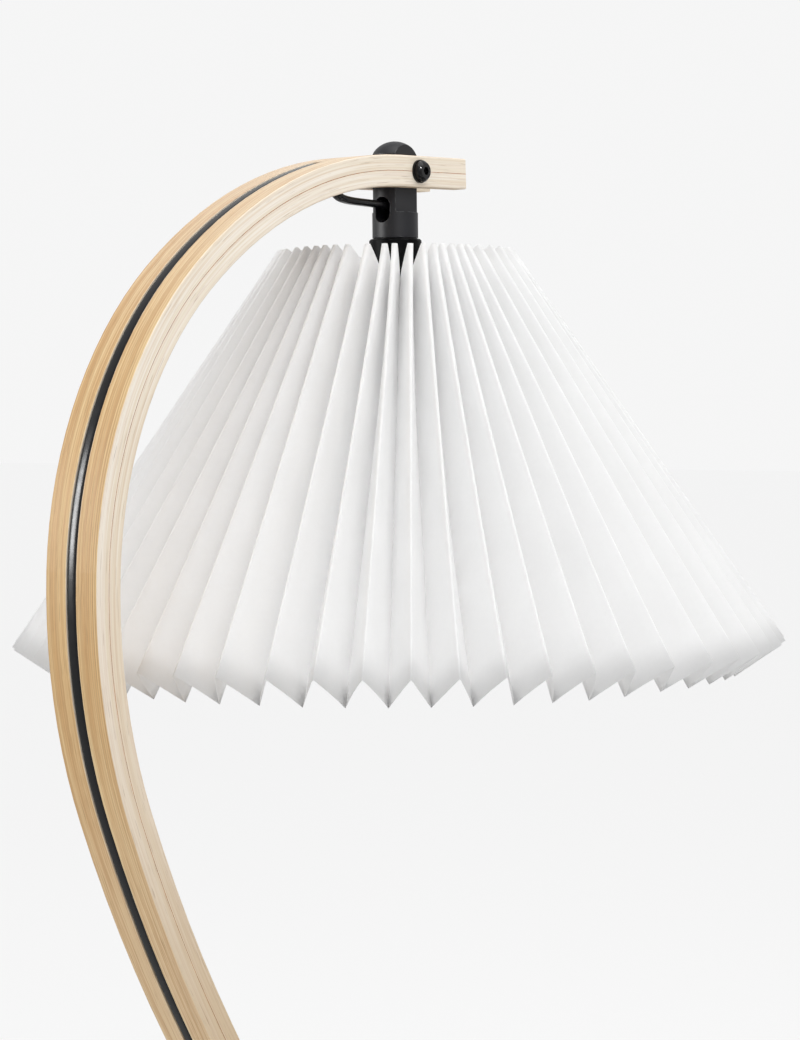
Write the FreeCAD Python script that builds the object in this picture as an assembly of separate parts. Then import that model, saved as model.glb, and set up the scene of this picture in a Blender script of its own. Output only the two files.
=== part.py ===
"""Pleated paper table lamp.

A round iron foot holds a bow of two glued oak laminations.  A cord lies in a groove down
the back of the bow.  The fork at its tip carries a small housing that tilts on one screw,
and under it hang the lampholder, the bulb and a shade folded from one strip of paper.

Millimetres, +Z up.  The origin is the middle of the foot's resting face, straight below
the tilt screw.  The bow lies in the XZ plane and its fork points along +X.
"""
import FreeCAD, Part
import math
import os

V = FreeCAD.Vector

# ---------------------------------------------------------------- driving sizes
pivot_height = 680.0        # tilt screw above the table
rest_tilt = 0.85            # the head leans this many degrees forward as it was left

# bow
arm_width = 31.0
lamination = 7.85           # thickness of one layer of oak
glue_line = 0.3
tip_reach = 42.5            # fork end in front of the tilt screw
tip_lift = 2.2              # middle of the bow above the screw, at the fork end
tip_slope = 2.9             # the fork rises forward by this angle
tip_straight = 58.0
crook_radius = 258.0
crook_angle = 37.8
back_radius = 186.0
back_angle = 47.1
waist_radius = 263.0
waist_angle = 25.1
sweep_radius = 731.0
sweep_angle = 9.5
edge_round = 0.8

# fork and tilt joint
fork_slot = 15.8
slot_depth_behind = 18.0    # the slot's rounded end lies this far behind the screw
screw_radius = 3.0
hinge_play = 0.05           # radial play of the screw in the housing
fit_gap = 0.05              # flat parts that touch in the real lamp
washer_radius = 6.0
washer_thick = 1.2
screw_head_radius = 5.5
screw_head_high = 3.4
hex_socket_across = 4.0
hex_socket_deep = 2.0
nut_radius = 5.0
nut_high = 5.5

# cord: two cores side by side in one flat sheath
cord_wide = 5.6
cord_thick = 3.7
groove_wide = 6.2
groove_deep = 4.3
groove_play = 0.1           # between the cord and the groove's floor
cord_hole_angle = 11.5       # part of the crook between its start and the cord's hole
dive_radius = 9.0
dive_slope = 45.0           # the cord leaves the arm's underside at this slope
hole_share = 0.55           # how much of the arm's thickness the cord's slanting hole holds straight
cord_room = 0.5             # room round the cord in its hole and tunnel
head_bend = 6.0             # the cord turns down inside the housing on this radius
head_drop = 4.4             # the cord hangs this far in front of the housing's axis
head_tail = 13.0
core_radius = 0.9           # one insulated core of the cord
core_spread = 1.1           # the cores leave the sheath this far to each side
core_splay = 3.4            # height of the stretch in which they part

# head
housing_radius = 11.9
dome_top = 16.4
neck_wide = 14.4            # across the two milled flats
flat_bottom = -20.6
housing_bottom = -33.5
neck_bore = 5.4
holder_bore = 10.3
bore_top = -12.5
holder_bore_top = -24.5
cord_slot_high = 13.4
cord_slot_wide = 9.4
cord_slot_middle = -19.4
spigot_radius = 10.0
spigot_long = 4.6
spigot_wall = 1.6

# collar that joins the housing, the lampholder and the shade
collar_radius = 14.1        # at the shoulder; the collar narrows a little upwards
collar_top_radius = 13.6
collar_top = -34.2
collar_lip = 4.4            # thickness of its top, which rests on the housing
collar_edge = 0.7
collar_shoulder = -55.0
collar_thread_radius = 12.9
collar_bottom = -63.0
collar_bore = 11.5

# lampholder and bulb
holder_top = -46.5
holder_bottom = -83.2
shell_radius = 7.2
shell_wall = 0.35
shell_top = -63.5
shell_long = 20.0
contact_radius = 3.0
contact_high = 0.8
rivet_radius = 1.2
terminal_spread = 7.0
terminal_radius = 1.5
terminal_head = 2.5
terminal_deep = 7.0
bulb_cap_radius = 6.7
bulb_cap_bottom = -83.5
bulb_radius = 22.5
bulb_neck_radius = 8.0
bulb_bottom = -140.0
glass_wall = 0.8
bulb_shoulder_share = 0.72  # the neck leaves the round part at this share of its radius
bulb_neck_sink = 1.6        # the neck's outline bends this far inward
cap_rim = 0.6
cap_taper = 3.0
cap_tip_radius = 2.4
cap_tip_high = 0.8
stem_root_radius = 4.0
stem_waist_radius = 2.0
stem_tip_radius = 1.4
stem_waist = 14.0           # below the cap
stem_long = 20.0
filament_count = 4
filament_radius = 0.9
filament_drop = 24.0
filament_circle = 4.8
filament_spread = 3.2       # each strip leans out by this much
filament_plate_radius = 6.0
filament_plate_thick = 0.6

# shade
pleats = 57
shade_top = -40.0           # outer folds' upper ends
shade_bottom = -242.0       # outer folds' lower ends
shade_top_radius = 61.2
shade_bottom_radius = 200.0
panel_wide = 28.8           # from one fold to the next
paper = 0.3
shade_gap = 0.3             # soft parts lie this far from what carries them

# shade carrier
hub_radius = 18.0
hub_thick = 1.5
ring_nut_high = 5.5
ring_nut_radius = 15.7
nut_notch_count = 12
spoke_count = 3
spoke_radius = 1.4
ring_wire_radius = 1.5
ring_level = -68.0
thread_radius = 0.4
thread_level = -75.0

# foot
base_radius = 105.0
base_rim_high = 9.0
base_crown_high = 21.0
base_edge_round = 3.0
pad_thick = 2.0
pad_radius = 95.0
socket_wall = 5.5
socket_long = 46.0          # how much of the bow the socket holds
socket_corner = 4.0
socket_sink = 8.0           # the socket's block reaches this far below the bow's end
foot_level = 25.0           # middle of the bow's lower end above the table
foot_screw_radius = 2.5
foot_screw_pitch = 20.0
foot_screw_first = 14.0     # first screw above the bow's lower end, along the bow
foot_screw_shift = 1.6      # towards the bow's inner face, away from the groove
foot_screw_head_radius = 4.6
foot_screw_head_high = 2.6
foot_key_radius = 1.6
foot_key_deep = 1.4
base_under_edge = 1.0       # small bevel where the casting meets the pad
base_crown_share = 0.86     # height of the crown half way out
tunnel_top = 31.0           # the cord's tunnel is cut no higher than this
clamp_play = 0.5
tunnel_radius = 24.0        # the cord's bend inside the foot
plan_radius = 34.0          # and its bend towards the exit
cord_level = 5.2            # middle of the cord in the foot
relief_long = 26.0
relief_seat = 8.0
relief_root_radius = 5.1
relief_tip_radius = 4.0
clamp_long = 24.0
clamp_wide = 9.0
clamp_thick = 1.2
clamp_screw_radius = 1.5
clamp_screw_long = 7.0
clamp_screw_pitch = 15.0
clamp_y = 62.0

# switch on the cord
switch_long = 58.0
switch_wide = 25.0
switch_split = 5.6          # the two shells meet at the middle of the cord
switch_high = 16.0
switch_wall = 2.0
switch_corner = 8.0
switch_edge = 2.2
switch_post = 3.2
switch_post_inset = 9.0
switch_screw_radius = 1.2
cord_grip = 6.0             # how far each cord end reaches into the switch
rocker_long = 17.0
rocker_wide = 9.0
rocker_play = 0.7           # between the rocker's ends and its window
rocker_angle = 8.0          # degrees to each side of level
rocker_pin_radius = 1.2
rocker_pin_long = 2.0
rocker_pivot_below_top = 3.2
rocker_below = 1.5          # the rocker's body below its pin's middle
rocker_end_high = 3.4       # its raised ends above the pin's middle
rocker_middle_high = 2.9
window_side_play = 0.25
pin_end_play = 0.3
cheek_thick = 3.0           # walls that hold the rocker's pin
cheek_long = 8.0
cheek_high = 6.0
switch_foot_round = 1.0
post_floor = 1.0
post_lap = 0.4              # the posts merge with the side walls by this much
switch_screw_long = 9.6
switch_screw_seat = 0.6
switch_screw_head_high = 1.4
switch_screw_bite = 6.0
contact_thick = 0.8
contact_wide = 3.0
contact_long = 10.0
contact_stand = 4.5
contact_inner = 6.0         # the contacts' inner ends stand this far from the middle

# coil, tie and plug
coil_outer = 43.5           # radius at the middle of the outer turn
coil_pitch = 6.4
lower_half_turn_count = 7
upper_half_turn_count = 6
coil_lift = 1.2             # room for the tie under the coil
layer_pitch = 4.4
tie_thick = 0.8
tie_wide = 9.0
plug_wide = 26.0
plug_neck = 12.0
plug_shoulder = 14.0        # length of the tapering part
plug_front = 20.0           # length of the full-width part
plug_high = 13.7
plug_round = 2.0
plug_pin_radius = 2.0
plug_pin_long = 19.0
plug_pin_pitch = 18.6
plug_sleeve_long = 9.0
plug_x = -191.0             # where the plug lies
plug_y = 84.0

arm_thick = 2 * lamination + glue_line
socket_heading = 180.0 + tip_slope + crook_angle + back_angle + waist_angle + sweep_angle
contact_low = shell_top - contact_high
bulb_cap_top = contact_low - fit_gap - 0.8


# ---------------------------------------------------------------- small helpers
def straight(length):
    return (length, 0.0)


def bend(radius, turn):
    return (radius, turn)


def stations(start, heading, segments):
    """Place and heading at each joint of a flat route; a positive turn goes to the left."""
    x, z = start
    places = [(x, z, heading)]
    for size, turn in segments:
        h = math.radians(heading)
        if turn == 0.0:
            x += size * math.cos(h)
            z += size * math.sin(h)
        else:
            side = math.copysign(1.0, turn)
            x += -side * size * math.sin(h)
            z += side * size * math.cos(h)
            heading += turn
            h = math.radians(heading)
            x += side * size * math.sin(h)
            z += -side * size * math.cos(h)
        places.append((x, z, heading))
    return places


def beside(place, offset):
    """A point of the XZ plane, offset to the right of the heading."""
    x, z, heading = place
    h = math.radians(heading)
    return V(x + offset * math.sin(h), 0, z - offset * math.cos(h))


def route_edges(start, heading, segments, offset=0.0):
    """Lines and arcs of a route in the XZ plane, all moved sideways by offset."""
    places = stations(start, heading, segments)
    edges = []
    for (size, turn), a, b in zip(segments, places, places[1:]):
        if turn == 0.0:
            edges.append(Part.LineSegment(beside(a, offset), beside(b, offset)).toShape())
        else:
            half = stations(a[:2], a[2], [(size, turn / 2)])[-1]
            arc = Part.Arc(beside(a, offset), beside(half, offset), beside(b, offset))
            edges.append(arc.toShape())
    return edges


def ribbon(start, heading, segments, low, high, width):
    """A strip that follows a route between two offsets, width wide across the XZ plane."""
    places = stations(start, heading, segments)
    outer = route_edges(start, heading, segments, high)
    inner = route_edges(start, heading, segments, low)
    first = Part.LineSegment(beside(places[0], low), beside(places[0], high)).toShape()
    last = Part.LineSegment(beside(places[-1], high), beside(places[-1], low)).toShape()
    outline = Part.Wire(Part.__sortEdges__([first] + outer + [last] + inner))
    strip = Part.Face(outline).extrude(V(0, width, 0))
    strip.translate(V(0, -width / 2, 0))
    return strip


def tube(radius, height, place, direction=V(0, 0, 1), bore=0.0):
    solid = Part.makeCylinder(radius, height, place, direction)
    if bore:
        solid = solid.cut(Part.makeCylinder(bore, height, place, direction))
    return solid


def turned(profile):
    """Solid of revolution about Z from (radius, height) corners."""
    points = [V(r, 0, z) for r, z in profile]
    face = Part.Face(Part.makePolygon(points + points[:1]))
    return face.revolve(V(0, 0, 0), V(0, 0, 1), 360)


def cord_section(middle, across, up, room=0.0):
    """Outline of the flat cord: straight broad sides and round edges."""
    half = cord_thick / 2 + room
    flat = (cord_wide - cord_thick) / 2
    a = middle + across * flat
    b = middle - across * flat
    top = Part.LineSegment(a + up * half, b + up * half).toShape()
    left = Part.Arc(b + up * half, b - across * half, b - up * half).toShape()
    base = Part.LineSegment(b - up * half, a - up * half).toShape()
    right = Part.Arc(a - up * half, a + across * half, a + up * half).toShape()
    return Part.Wire([top, left, base, right])


def cord_along(edges, middle, across, up, room=0.0):
    """The flat cord, or the room it needs, swept along a route of lines and arcs."""
    route = Part.Wire(Part.__sortEdges__(edges))
    solid = route.makePipeShell([cord_section(middle, across, up, room)], True, False)
    if solid.Volume < 0:
        solid.reverse()
    return solid


def rounded(points, name):
    """Route through chosen points: straight runs joined by the largest tangent arcs."""
    edges = []
    at = points[0]
    radii = []
    for before, corner, after in zip(points, points[1:], points[2:]):
        arriving = corner - before
        leaving = after - corner
        half = arriving.getAngle(leaving) / 2
        reach = 0.45 * min(arriving.Length, leaving.Length)
        radii.append(reach / math.tan(half))
        begin = corner - arriving.normalize() * reach
        end = corner + leaving.normalize() * reach
        inward = (begin + end) * 0.5 - corner
        rise = radii[-1] / math.cos(half) - radii[-1]
        middle = corner + inward.normalize() * rise
        edges.append(Part.LineSegment(at, begin).toShape())
        edges.append(Part.Arc(begin, middle, end).toShape())
        at = end
    edges.append(Part.LineSegment(at, points[-1]).toShape())
    length = sum(edge.Length for edge in edges)
    print(name, "length", round(length, 1), "radii", [round(r, 1) for r in radii])
    return edges


def check_volume(name, solid, edges):
    section = math.pi * cord_thick ** 2 / 4 + (cord_wide - cord_thick) * cord_thick
    length = sum(edge.Length for edge in edges)
    print(name, "volume over section times length", round(solid.Volume / section / length, 4))


parts = {}


# ---------------------------------------------------------------- bow
tip = (tip_reach, pivot_height + tip_lift)
tip_heading = 180.0 + tip_slope
upper_arm = [
    straight(tip_straight),
    bend(crook_radius, crook_angle),
    bend(back_radius, back_angle),
    bend(waist_radius, waist_angle),
    bend(sweep_radius, sweep_angle),
]
sweep_end = stations(tip, tip_heading, upper_arm)[-1]
foot_straight = (sweep_end[1] - foot_level) / -math.sin(math.radians(sweep_end[2]))
arm_route = upper_arm + [straight(foot_straight)]
foot = stations(tip, tip_heading, arm_route)[-1]
cord_offset = arm_thick / 2 - groove_deep + groove_play + cord_thick / 2


def lead_routes():
    """The cord's way: up through the arm, down the groove, round inside the foot."""
    station = stations(tip, tip_heading, [straight(tip_straight), bend(crook_radius, cord_hole_angle)])[-1]
    begin = beside(station, cord_offset)
    back = station[2] - 180.0
    through = arm_thick * hole_share
    dive = [bend(dive_radius, -(back + dive_slope)), straight(through)]
    groove = [
        bend(crook_radius + cord_offset, crook_angle - cord_hole_angle),
        bend(back_radius + cord_offset, back_angle),
        bend(waist_radius + cord_offset, waist_angle),
        bend(sweep_radius + cord_offset, sweep_angle),
    ]
    top = (begin.x, begin.z)
    end = stations(top, station[2], groove)[-1]
    turn = 360.0 - end[2]
    drop = tunnel_radius * (1 - math.cos(math.radians(turn)))
    down = (end[1] - cord_level - drop) / -math.sin(math.radians(end[2]))
    groove += [straight(down), bend(tunnel_radius, turn)]
    return top, back, dive, station[2], groove


lead_top, dive_heading, dive_route, groove_heading, groove_route = lead_routes()
dive_end = stations(lead_top, dive_heading, dive_route)[-1]
tunnel_end = stations(lead_top, groove_heading, groove_route)[-1]
exit_x = tunnel_end[0] + plan_radius
exit_y = math.sqrt(base_radius ** 2 - exit_x ** 2)
lead_end = V(exit_x, exit_y - relief_seat + relief_long, cord_level)


def lead_edges():
    edges = route_edges(lead_top, dive_heading, dive_route)
    edges += route_edges(lead_top, groove_heading, groove_route)
    x, z = tunnel_end[:2]
    a = math.sqrt(0.5) * plan_radius
    corner = Part.Arc(V(x, 0, z), V(x + a, plan_radius - a, z), V(exit_x, plan_radius, z))
    edges.append(corner.toShape())
    edges.append(Part.LineSegment(V(exit_x, plan_radius, z), lead_end).toShape())
    return edges


def middle_of(edge):
    return edge.valueAt((edge.FirstParameter + edge.LastParameter) / 2)


def eased(strip, offset):
    """Round a lamination's long corners and its fork end, on the surface at this offset."""
    wanted = [beside(stations(tip, tip_heading, arm_route)[0], offset)]
    for edge in route_edges(tip, tip_heading, arm_route, offset):
        for y in (-arm_width / 2, arm_width / 2):
            wanted.append(middle_of(edge) + V(0, y, 0))
    chosen = []
    for edge in strip.Edges:
        if any((middle_of(edge) - place).Length < 1e-3 for place in wanted):
            chosen.append(edge)
    return strip.makeFillet(edge_round, chosen)


def fork_cutter():
    """The open slot with its rounded end, right through the tip."""
    reach = tip_reach + 2
    radius = fork_slot / 2
    low = pivot_height - 2 * arm_thick
    high = 4 * arm_thick
    block = Part.makeBox(reach + slot_depth_behind - radius, fork_slot, high)
    block.translate(V(radius - slot_depth_behind, -radius, low))
    end = Part.makeCylinder(radius, high, V(radius - slot_depth_behind, 0, low))
    return block.fuse(end)


def arm_cutters():
    cutters = [fork_cutter()]
    hole = screw_radius + fit_gap
    cutters.append(tube(hole, arm_width + 2, V(0, -arm_width / 2 - 1, pivot_height), V(0, 1, 0)))
    floor = arm_thick / 2 - groove_deep - cord_offset
    way = groove_route[:4] + [straight(foot_straight + groove_deep)]
    cutters.append(ribbon(lead_top, groove_heading, way, floor, groove_deep, groove_wide))
    half = cord_thick / 2 + cord_room
    dive = [dive_route[0], straight(2 * arm_thick)]
    cutters.append(ribbon(lead_top, dive_heading, dive, -half, half, groove_wide))
    mouth = [straight(cord_thick)]
    cutters.append(ribbon(lead_top, dive_heading, mouth, -groove_deep, half, groove_wide))
    for place in foot_screw_places():
        start = place - V(0, arm_width / 2 + 1, 0)
        cutters.append(tube(foot_screw_radius + fit_gap, arm_width + 2, start, V(0, 1, 0)))
    return cutters


def foot_screw_places():
    up = socket_heading - 180.0
    places = []
    for i in range(2):
        along = straight(foot_screw_first + i * foot_screw_pitch)
        place = stations(foot[:2], up, [along])[-1]
        places.append(beside(place, foot_screw_shift))
    return places


def arm():
    half = glue_line / 2
    outer = ribbon(tip, tip_heading, arm_route, half, arm_thick / 2, arm_width)
    inner = ribbon(tip, tip_heading, arm_route, -arm_thick / 2, -half, arm_width)
    glue = ribbon(tip, tip_heading, arm_route, -half, half, arm_width)
    outer = eased(outer, arm_thick / 2)
    inner = eased(inner, -arm_thick / 2)
    cutters = arm_cutters()
    parts["arm_outer_lamination"] = outer.cut(cutters)
    parts["arm_inner_lamination"] = inner.cut(cutters)
    parts["arm_glue_line"] = glue.cut(cutters)


# ---------------------------------------------------------------- tilt joint
def tilt_joint():
    side = arm_width / 2
    axis = V(0, 1, 0)
    near = V(0, -side, pivot_height)
    far = V(0, side, pivot_height)
    hole = screw_radius + fit_gap
    washers = [
        tube(washer_radius, washer_thick, near - V(0, washer_thick, 0), axis, hole),
        tube(washer_radius, washer_thick, far, axis, hole),
    ]
    parts["pivot_washers"] = Part.makeCompound(washers)
    seat = near.y - washer_thick
    dome = Part.makeSphere(screw_head_radius * 1.15, V(0, seat + 1.5, pivot_height))
    head = Part.makeCylinder(screw_head_radius, screw_head_high, V(0, seat - screw_head_high, pivot_height), axis)
    head = head.common(dome)
    shank_end = side + washer_thick + nut_high - 1.5
    shank = Part.makeCylinder(screw_radius, shank_end - seat, V(0, seat, pivot_height), axis)
    corners = []
    for i in range(7):
        a = math.radians(60 * i)
        reach = hex_socket_across / math.sqrt(3)
        corners.append(V(reach * math.cos(a), seat - screw_head_high - 1, pivot_height + reach * math.sin(a)))
    key = Part.Face(Part.makePolygon(corners)).extrude(V(0, hex_socket_deep + 1, 0))
    parts["pivot_screw"] = head.fuse(shank).cut(key).removeSplitter()
    nut_seat = side + washer_thick
    nut = Part.makeCylinder(nut_radius, nut_high, V(0, nut_seat, pivot_height), axis)
    nut = nut.common(Part.makeSphere(nut_radius * 1.2, V(0, nut_seat + 0.5, pivot_height)))
    bore = Part.makeCylinder(screw_radius, nut_high - 1.5, V(0, nut_seat, pivot_height), axis)
    parts["pivot_nut"] = nut.cut(bore)


# ---------------------------------------------------------------- head, built upright about the pivot
def housing():
    sphere_radius = housing_radius * 1.15
    barrel = Part.makeCylinder(housing_radius, dome_top - housing_bottom, V(0, 0, housing_bottom))
    dome = Part.makeSphere(sphere_radius, V(0, 0, dome_top - sphere_radius))
    lower = Part.makeCylinder(2 * housing_radius, dome_top - sphere_radius - housing_bottom, V(0, 0, housing_bottom))
    solid = barrel.common(dome.fuse(lower))
    solid = solid.fuse(Part.makeCylinder(spigot_radius, spigot_long, V(0, 0, housing_bottom - spigot_long)))
    for side in (1, -1):
        flat = Part.makeBox(4 * housing_radius, housing_radius, 2 * dome_top - flat_bottom)
        flat.translate(V(-2 * housing_radius, 0, flat_bottom))
        flat.translate(V(0, neck_wide / 2 if side > 0 else -neck_wide / 2 - housing_radius, 0))
        solid = solid.cut(flat)
    solid = solid.cut(tube(screw_radius + hinge_play, 2 * housing_radius, V(0, -housing_radius, 0), V(0, 1, 0)))
    solid = solid.cut(Part.makeCylinder(neck_bore, bore_top - housing_bottom, V(0, 0, housing_bottom)))
    wide = spigot_radius - spigot_wall
    solid = solid.cut(Part.makeCylinder(wide, holder_bore_top - housing_bottom + spigot_long,
                                        V(0, 0, housing_bottom - spigot_long)))
    r = cord_slot_wide / 2
    rise = (cord_slot_high - cord_slot_wide) / 2
    front = head_drop + cord_thick / 2 + 2 * cord_room
    reach = front + 2 * housing_radius
    for z in (cord_slot_middle - rise, cord_slot_middle + rise):
        solid = solid.cut(Part.makeCylinder(r, reach, V(front, 0, z), V(-1, 0, 0)))
    middle = Part.makeBox(reach, cord_slot_wide, 2 * rise)
    middle.translate(V(front - reach, -r, cord_slot_middle - rise))
    return solid.cut(middle).removeSplitter()


def friction_washers():
    inner = neck_wide / 2 + fit_gap
    thick = (fork_slot - neck_wide) / 2 - 2 * fit_gap
    rings = []
    for start in (inner, -inner - thick):
        rings.append(tube(washer_radius, thick, V(0, start, 0), V(0, 1, 0), screw_radius + hinge_play))
    return Part.makeCompound(rings)


def shade_collar():
    bore = spigot_radius + fit_gap
    return turned([
        (bore, collar_top),
        (collar_top_radius - collar_edge, collar_top),
        (collar_top_radius, collar_top - collar_edge),
        (collar_radius, collar_shoulder),
        (collar_thread_radius, collar_shoulder),
        (collar_thread_radius, collar_bottom),
        (collar_bore, collar_bottom),
        (collar_bore, collar_top - collar_lip),
        (bore, collar_top - collar_lip),
    ])


def lampholder():
    outer = collar_bore - fit_gap
    body = Part.makeCylinder(outer, holder_top - holder_bottom, V(0, 0, holder_bottom))
    well = Part.makeCylinder(shell_radius + fit_gap, shell_top - holder_bottom, V(0, 0, holder_bottom))
    holes = [Part.makeCylinder(rivet_radius + fit_gap, holder_top - shell_top, V(0, 0, shell_top))]
    for x in (-terminal_spread, terminal_spread):
        deep = V(x, 0, holder_top - terminal_deep)
        holes.append(Part.makeCylinder(terminal_radius + fit_gap, terminal_deep, deep))
    parts["holder_insulator"] = body.cut([well] + holes)
    low = shell_top - shell_long
    parts["threaded_shell"] = tube(shell_radius, shell_long, V(0, 0, low), V(0, 0, 1), shell_radius - shell_wall)
    rivet = Part.makeCylinder(rivet_radius, holder_top - contact_low, V(0, 0, contact_low))
    button = Part.makeCylinder(contact_radius, contact_high, V(0, 0, contact_low))
    parts["centre_contact"] = rivet.fuse(button)
    screws = []
    for x in (-terminal_spread, terminal_spread):
        shank = Part.makeCylinder(terminal_radius, terminal_deep, V(x, 0, holder_top - terminal_deep))
        head = Part.makeCylinder(terminal_head, terminal_radius, V(x, 0, holder_top))
        nick = Part.makeBox(3 * terminal_head, terminal_radius / 2, terminal_radius)
        nick.translate(V(x - 1.5 * terminal_head, -terminal_radius / 4, holder_top + terminal_radius / 2))
        screws.append(shank.fuse(head).cut(nick))
    parts["terminal_screws"] = Part.makeCompound(screws)


def bulb_skin(inset):
    """Outline of the glass, the given distance inside its outer face."""
    middle = bulb_bottom + bulb_radius
    rise = math.sqrt(1 - bulb_shoulder_share ** 2)
    r = bulb_radius - inset
    low = V(0, 0, middle - r)
    side = V(r, 0, middle)
    shoulder = V(r * bulb_shoulder_share, 0, middle + r * rise)
    high = V(bulb_neck_radius - inset, 0, bulb_cap_bottom)
    half_angle = math.atan2(rise, bulb_shoulder_share) / 2
    upper_way = V(r * math.cos(half_angle), 0, middle + r * math.sin(half_angle))
    lower_way = V(r * math.sqrt(0.5), 0, middle - r * math.sqrt(0.5))
    neck_way = (shoulder + high) * 0.5 - V(bulb_neck_sink, 0, bulb_neck_sink * bulb_shoulder_share)
    skin = [
        Part.Arc(low, lower_way, side).toShape(),
        Part.Arc(side, upper_way, shoulder).toShape(),
        Part.Arc(shoulder, neck_way, high).toShape(),
    ]
    return skin, low, high


def bulb():
    outer, low, high = bulb_skin(0.0)
    inner, low_in, high_in = bulb_skin(glass_wall)
    outline = outer + inner
    outline.append(Part.LineSegment(low, low_in).toShape())
    outline.append(Part.LineSegment(high, high_in).toShape())
    face = Part.Face(Part.Wire(Part.__sortEdges__(outline)))
    parts["bulb_glass"] = face.revolve(V(0, 0, 0), V(0, 0, 1), 360)
    parts["bulb_cap"] = turned([
        (0, bulb_cap_top + cap_tip_high),
        (cap_tip_radius, bulb_cap_top + cap_tip_high),
        (cap_tip_radius, bulb_cap_top),
        (cap_tip_radius + 2 * cap_rim, bulb_cap_top - cap_rim),
        (bulb_cap_radius - cap_rim, bulb_cap_top - cap_taper),
        (bulb_cap_radius, bulb_cap_top - cap_taper - cap_rim),
        (bulb_cap_radius, bulb_cap_bottom),
        (0, bulb_cap_bottom),
    ])
    parts["bulb_stem"] = turned([
        (0, bulb_cap_bottom),
        (stem_root_radius, bulb_cap_bottom),
        (stem_waist_radius, bulb_cap_bottom - stem_waist),
        (stem_tip_radius, bulb_cap_bottom - stem_long),
        (0, bulb_cap_bottom - stem_long),
    ])
    level = bulb_cap_bottom - stem_long - filament_plate_thick
    lit = Part.makeCylinder(filament_plate_radius, filament_plate_thick, V(0, 0, level))
    for i in range(filament_count):
        a = 2 * math.pi * (i + 0.5) / filament_count
        out = V(math.cos(a), math.sin(a), 0)
        lean = out * filament_spread - V(0, 0, filament_drop)
        start = out * filament_circle + V(0, 0, level)
        lit = lit.fuse(Part.makeCylinder(filament_radius, lean.Length, start, lean))
    parts["bulb_filaments"] = lit


slant = math.atan2(shade_bottom_radius - shade_top_radius, shade_top - shade_bottom)


def fold_end(end, depth, angle):
    """A fold's end: depth is measured square to the slant, from the outer folds inward."""
    radius, z = end
    r = radius - depth * math.cos(slant)
    return V(r * math.cos(angle), r * math.sin(angle), z - depth * math.sin(slant))


def pleat_sizes(end):
    """Depth of the pleats at one end, and how far the paper's inner skin lies below the outer."""
    half_pitch = math.pi * end[0] / pleats
    depth = math.sqrt(panel_wide ** 2 - half_pitch ** 2)
    shift = paper / math.sin(math.atan2(half_pitch, depth))
    return depth, shift


def pleated_shade():
    """One folded strip: two skins of twisted panels, closed along both cut ends."""
    top = (shade_top_radius, shade_top)
    bottom = (shade_bottom_radius, shade_bottom)

    def fold(number, inner_skin):
        angle = math.pi * number / pleats
        ends = []
        for end in (top, bottom):
            depth, shift = pleat_sizes(end)
            deep = depth if number % 2 else 0.0
            ends.append(fold_end(end, deep + (shift if inner_skin else 0.0), angle))
        return ends

    faces = []
    for number in range(2 * pleats):
        after = (number + 1) % (2 * pleats)
        skins = []
        for inner_skin in (False, True):
            a = fold(number, inner_skin)
            b = fold(after, inner_skin)
            first = Part.makeLine(a[0], a[1])
            second = Part.makeLine(b[0], b[1])
            faces.append(Part.makeRuledSurface(first, second))
            skins.append((a, b))
        for end in (0, 1):
            near = Part.makeLine(skins[0][0][end], skins[0][1][end])
            far = Part.makeLine(skins[1][0][end], skins[1][1][end])
            faces.append(Part.makeRuledSurface(near, far))
    shell = Part.makeShell(faces)
    shell.sewShape()
    solid = Part.makeSolid(shell)
    if solid.Volume < 0:
        solid.reverse()
    return solid


def inner_fold_radius(z):
    """Radius of the paper's innermost line at a height in the head's own frame."""
    points = []
    for end in ((shade_top_radius, shade_top), (shade_bottom_radius, shade_bottom)):
        depth, shift = pleat_sizes(end)
        point = fold_end(end, depth + shift, 0.0)
        points.append(point)
    a, b = points
    return a.x + (b.x - a.x) * (a.z - z) / (a.z - b.z)


def shade_carrier():
    ring_radius = inner_fold_radius(ring_level + ring_wire_radius) - ring_wire_radius - shade_gap
    solid = Part.makeTorus(ring_radius, ring_wire_radius, V(0, 0, ring_level))
    hub_top = collar_shoulder
    hub = tube(hub_radius, hub_thick, V(0, 0, hub_top - hub_thick), V(0, 0, 1), collar_thread_radius + fit_gap)
    solid = solid.fuse(hub)
    for i in range(spoke_count):
        a = 2 * math.pi * i / spoke_count + math.pi / 2
        out = V(math.cos(a), math.sin(a), 0)
        inner = out * (hub_radius - spoke_radius) + V(0, 0, hub_top - hub_thick / 2)
        outer = out * ring_radius + V(0, 0, ring_level)
        solid = solid.fuse(Part.makeCylinder(spoke_radius, (outer - inner).Length, inner, outer - inner))
    parts["shade_carrier"] = solid.removeSplitter()
    nut = tube(ring_nut_radius, ring_nut_high, V(0, 0, hub_top - hub_thick - ring_nut_high), V(0, 0, 1),
               collar_thread_radius + fit_gap)
    notches = []
    for i in range(nut_notch_count):
        notch = Part.makeCylinder(1.2, ring_nut_high * 2, V(ring_nut_radius + 0.4, 0, hub_top - 3 * ring_nut_high))
        notch.rotate(V(0, 0, 0), V(0, 0, 1), 360.0 * i / nut_notch_count)
        notches.append(notch)
    parts["ring_nut"] = nut.cut(notches)
    thread_ring = inner_fold_radius(thread_level + thread_radius) - thread_radius - shade_gap
    parts["gathering_thread"] = Part.makeTorus(thread_ring, thread_radius, V(0, 0, thread_level))


head_nodes = []


def head():
    before = set(parts)
    parts["head_housing"] = housing()
    parts["friction_washers"] = friction_washers()
    parts["shade_collar"] = shade_collar()
    lampholder()
    bulb()
    shade_carrier()
    parts["pleated_shade"] = pleated_shade()
    parts["holder_cores"] = bare_cores()
    for name in sorted(set(parts) - before):
        parts[name].rotate(V(0, 0, 0), V(0, 1, 0), -rest_tilt)
        parts[name].translate(V(0, 0, pivot_height))
        head_nodes.append(name)


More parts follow.
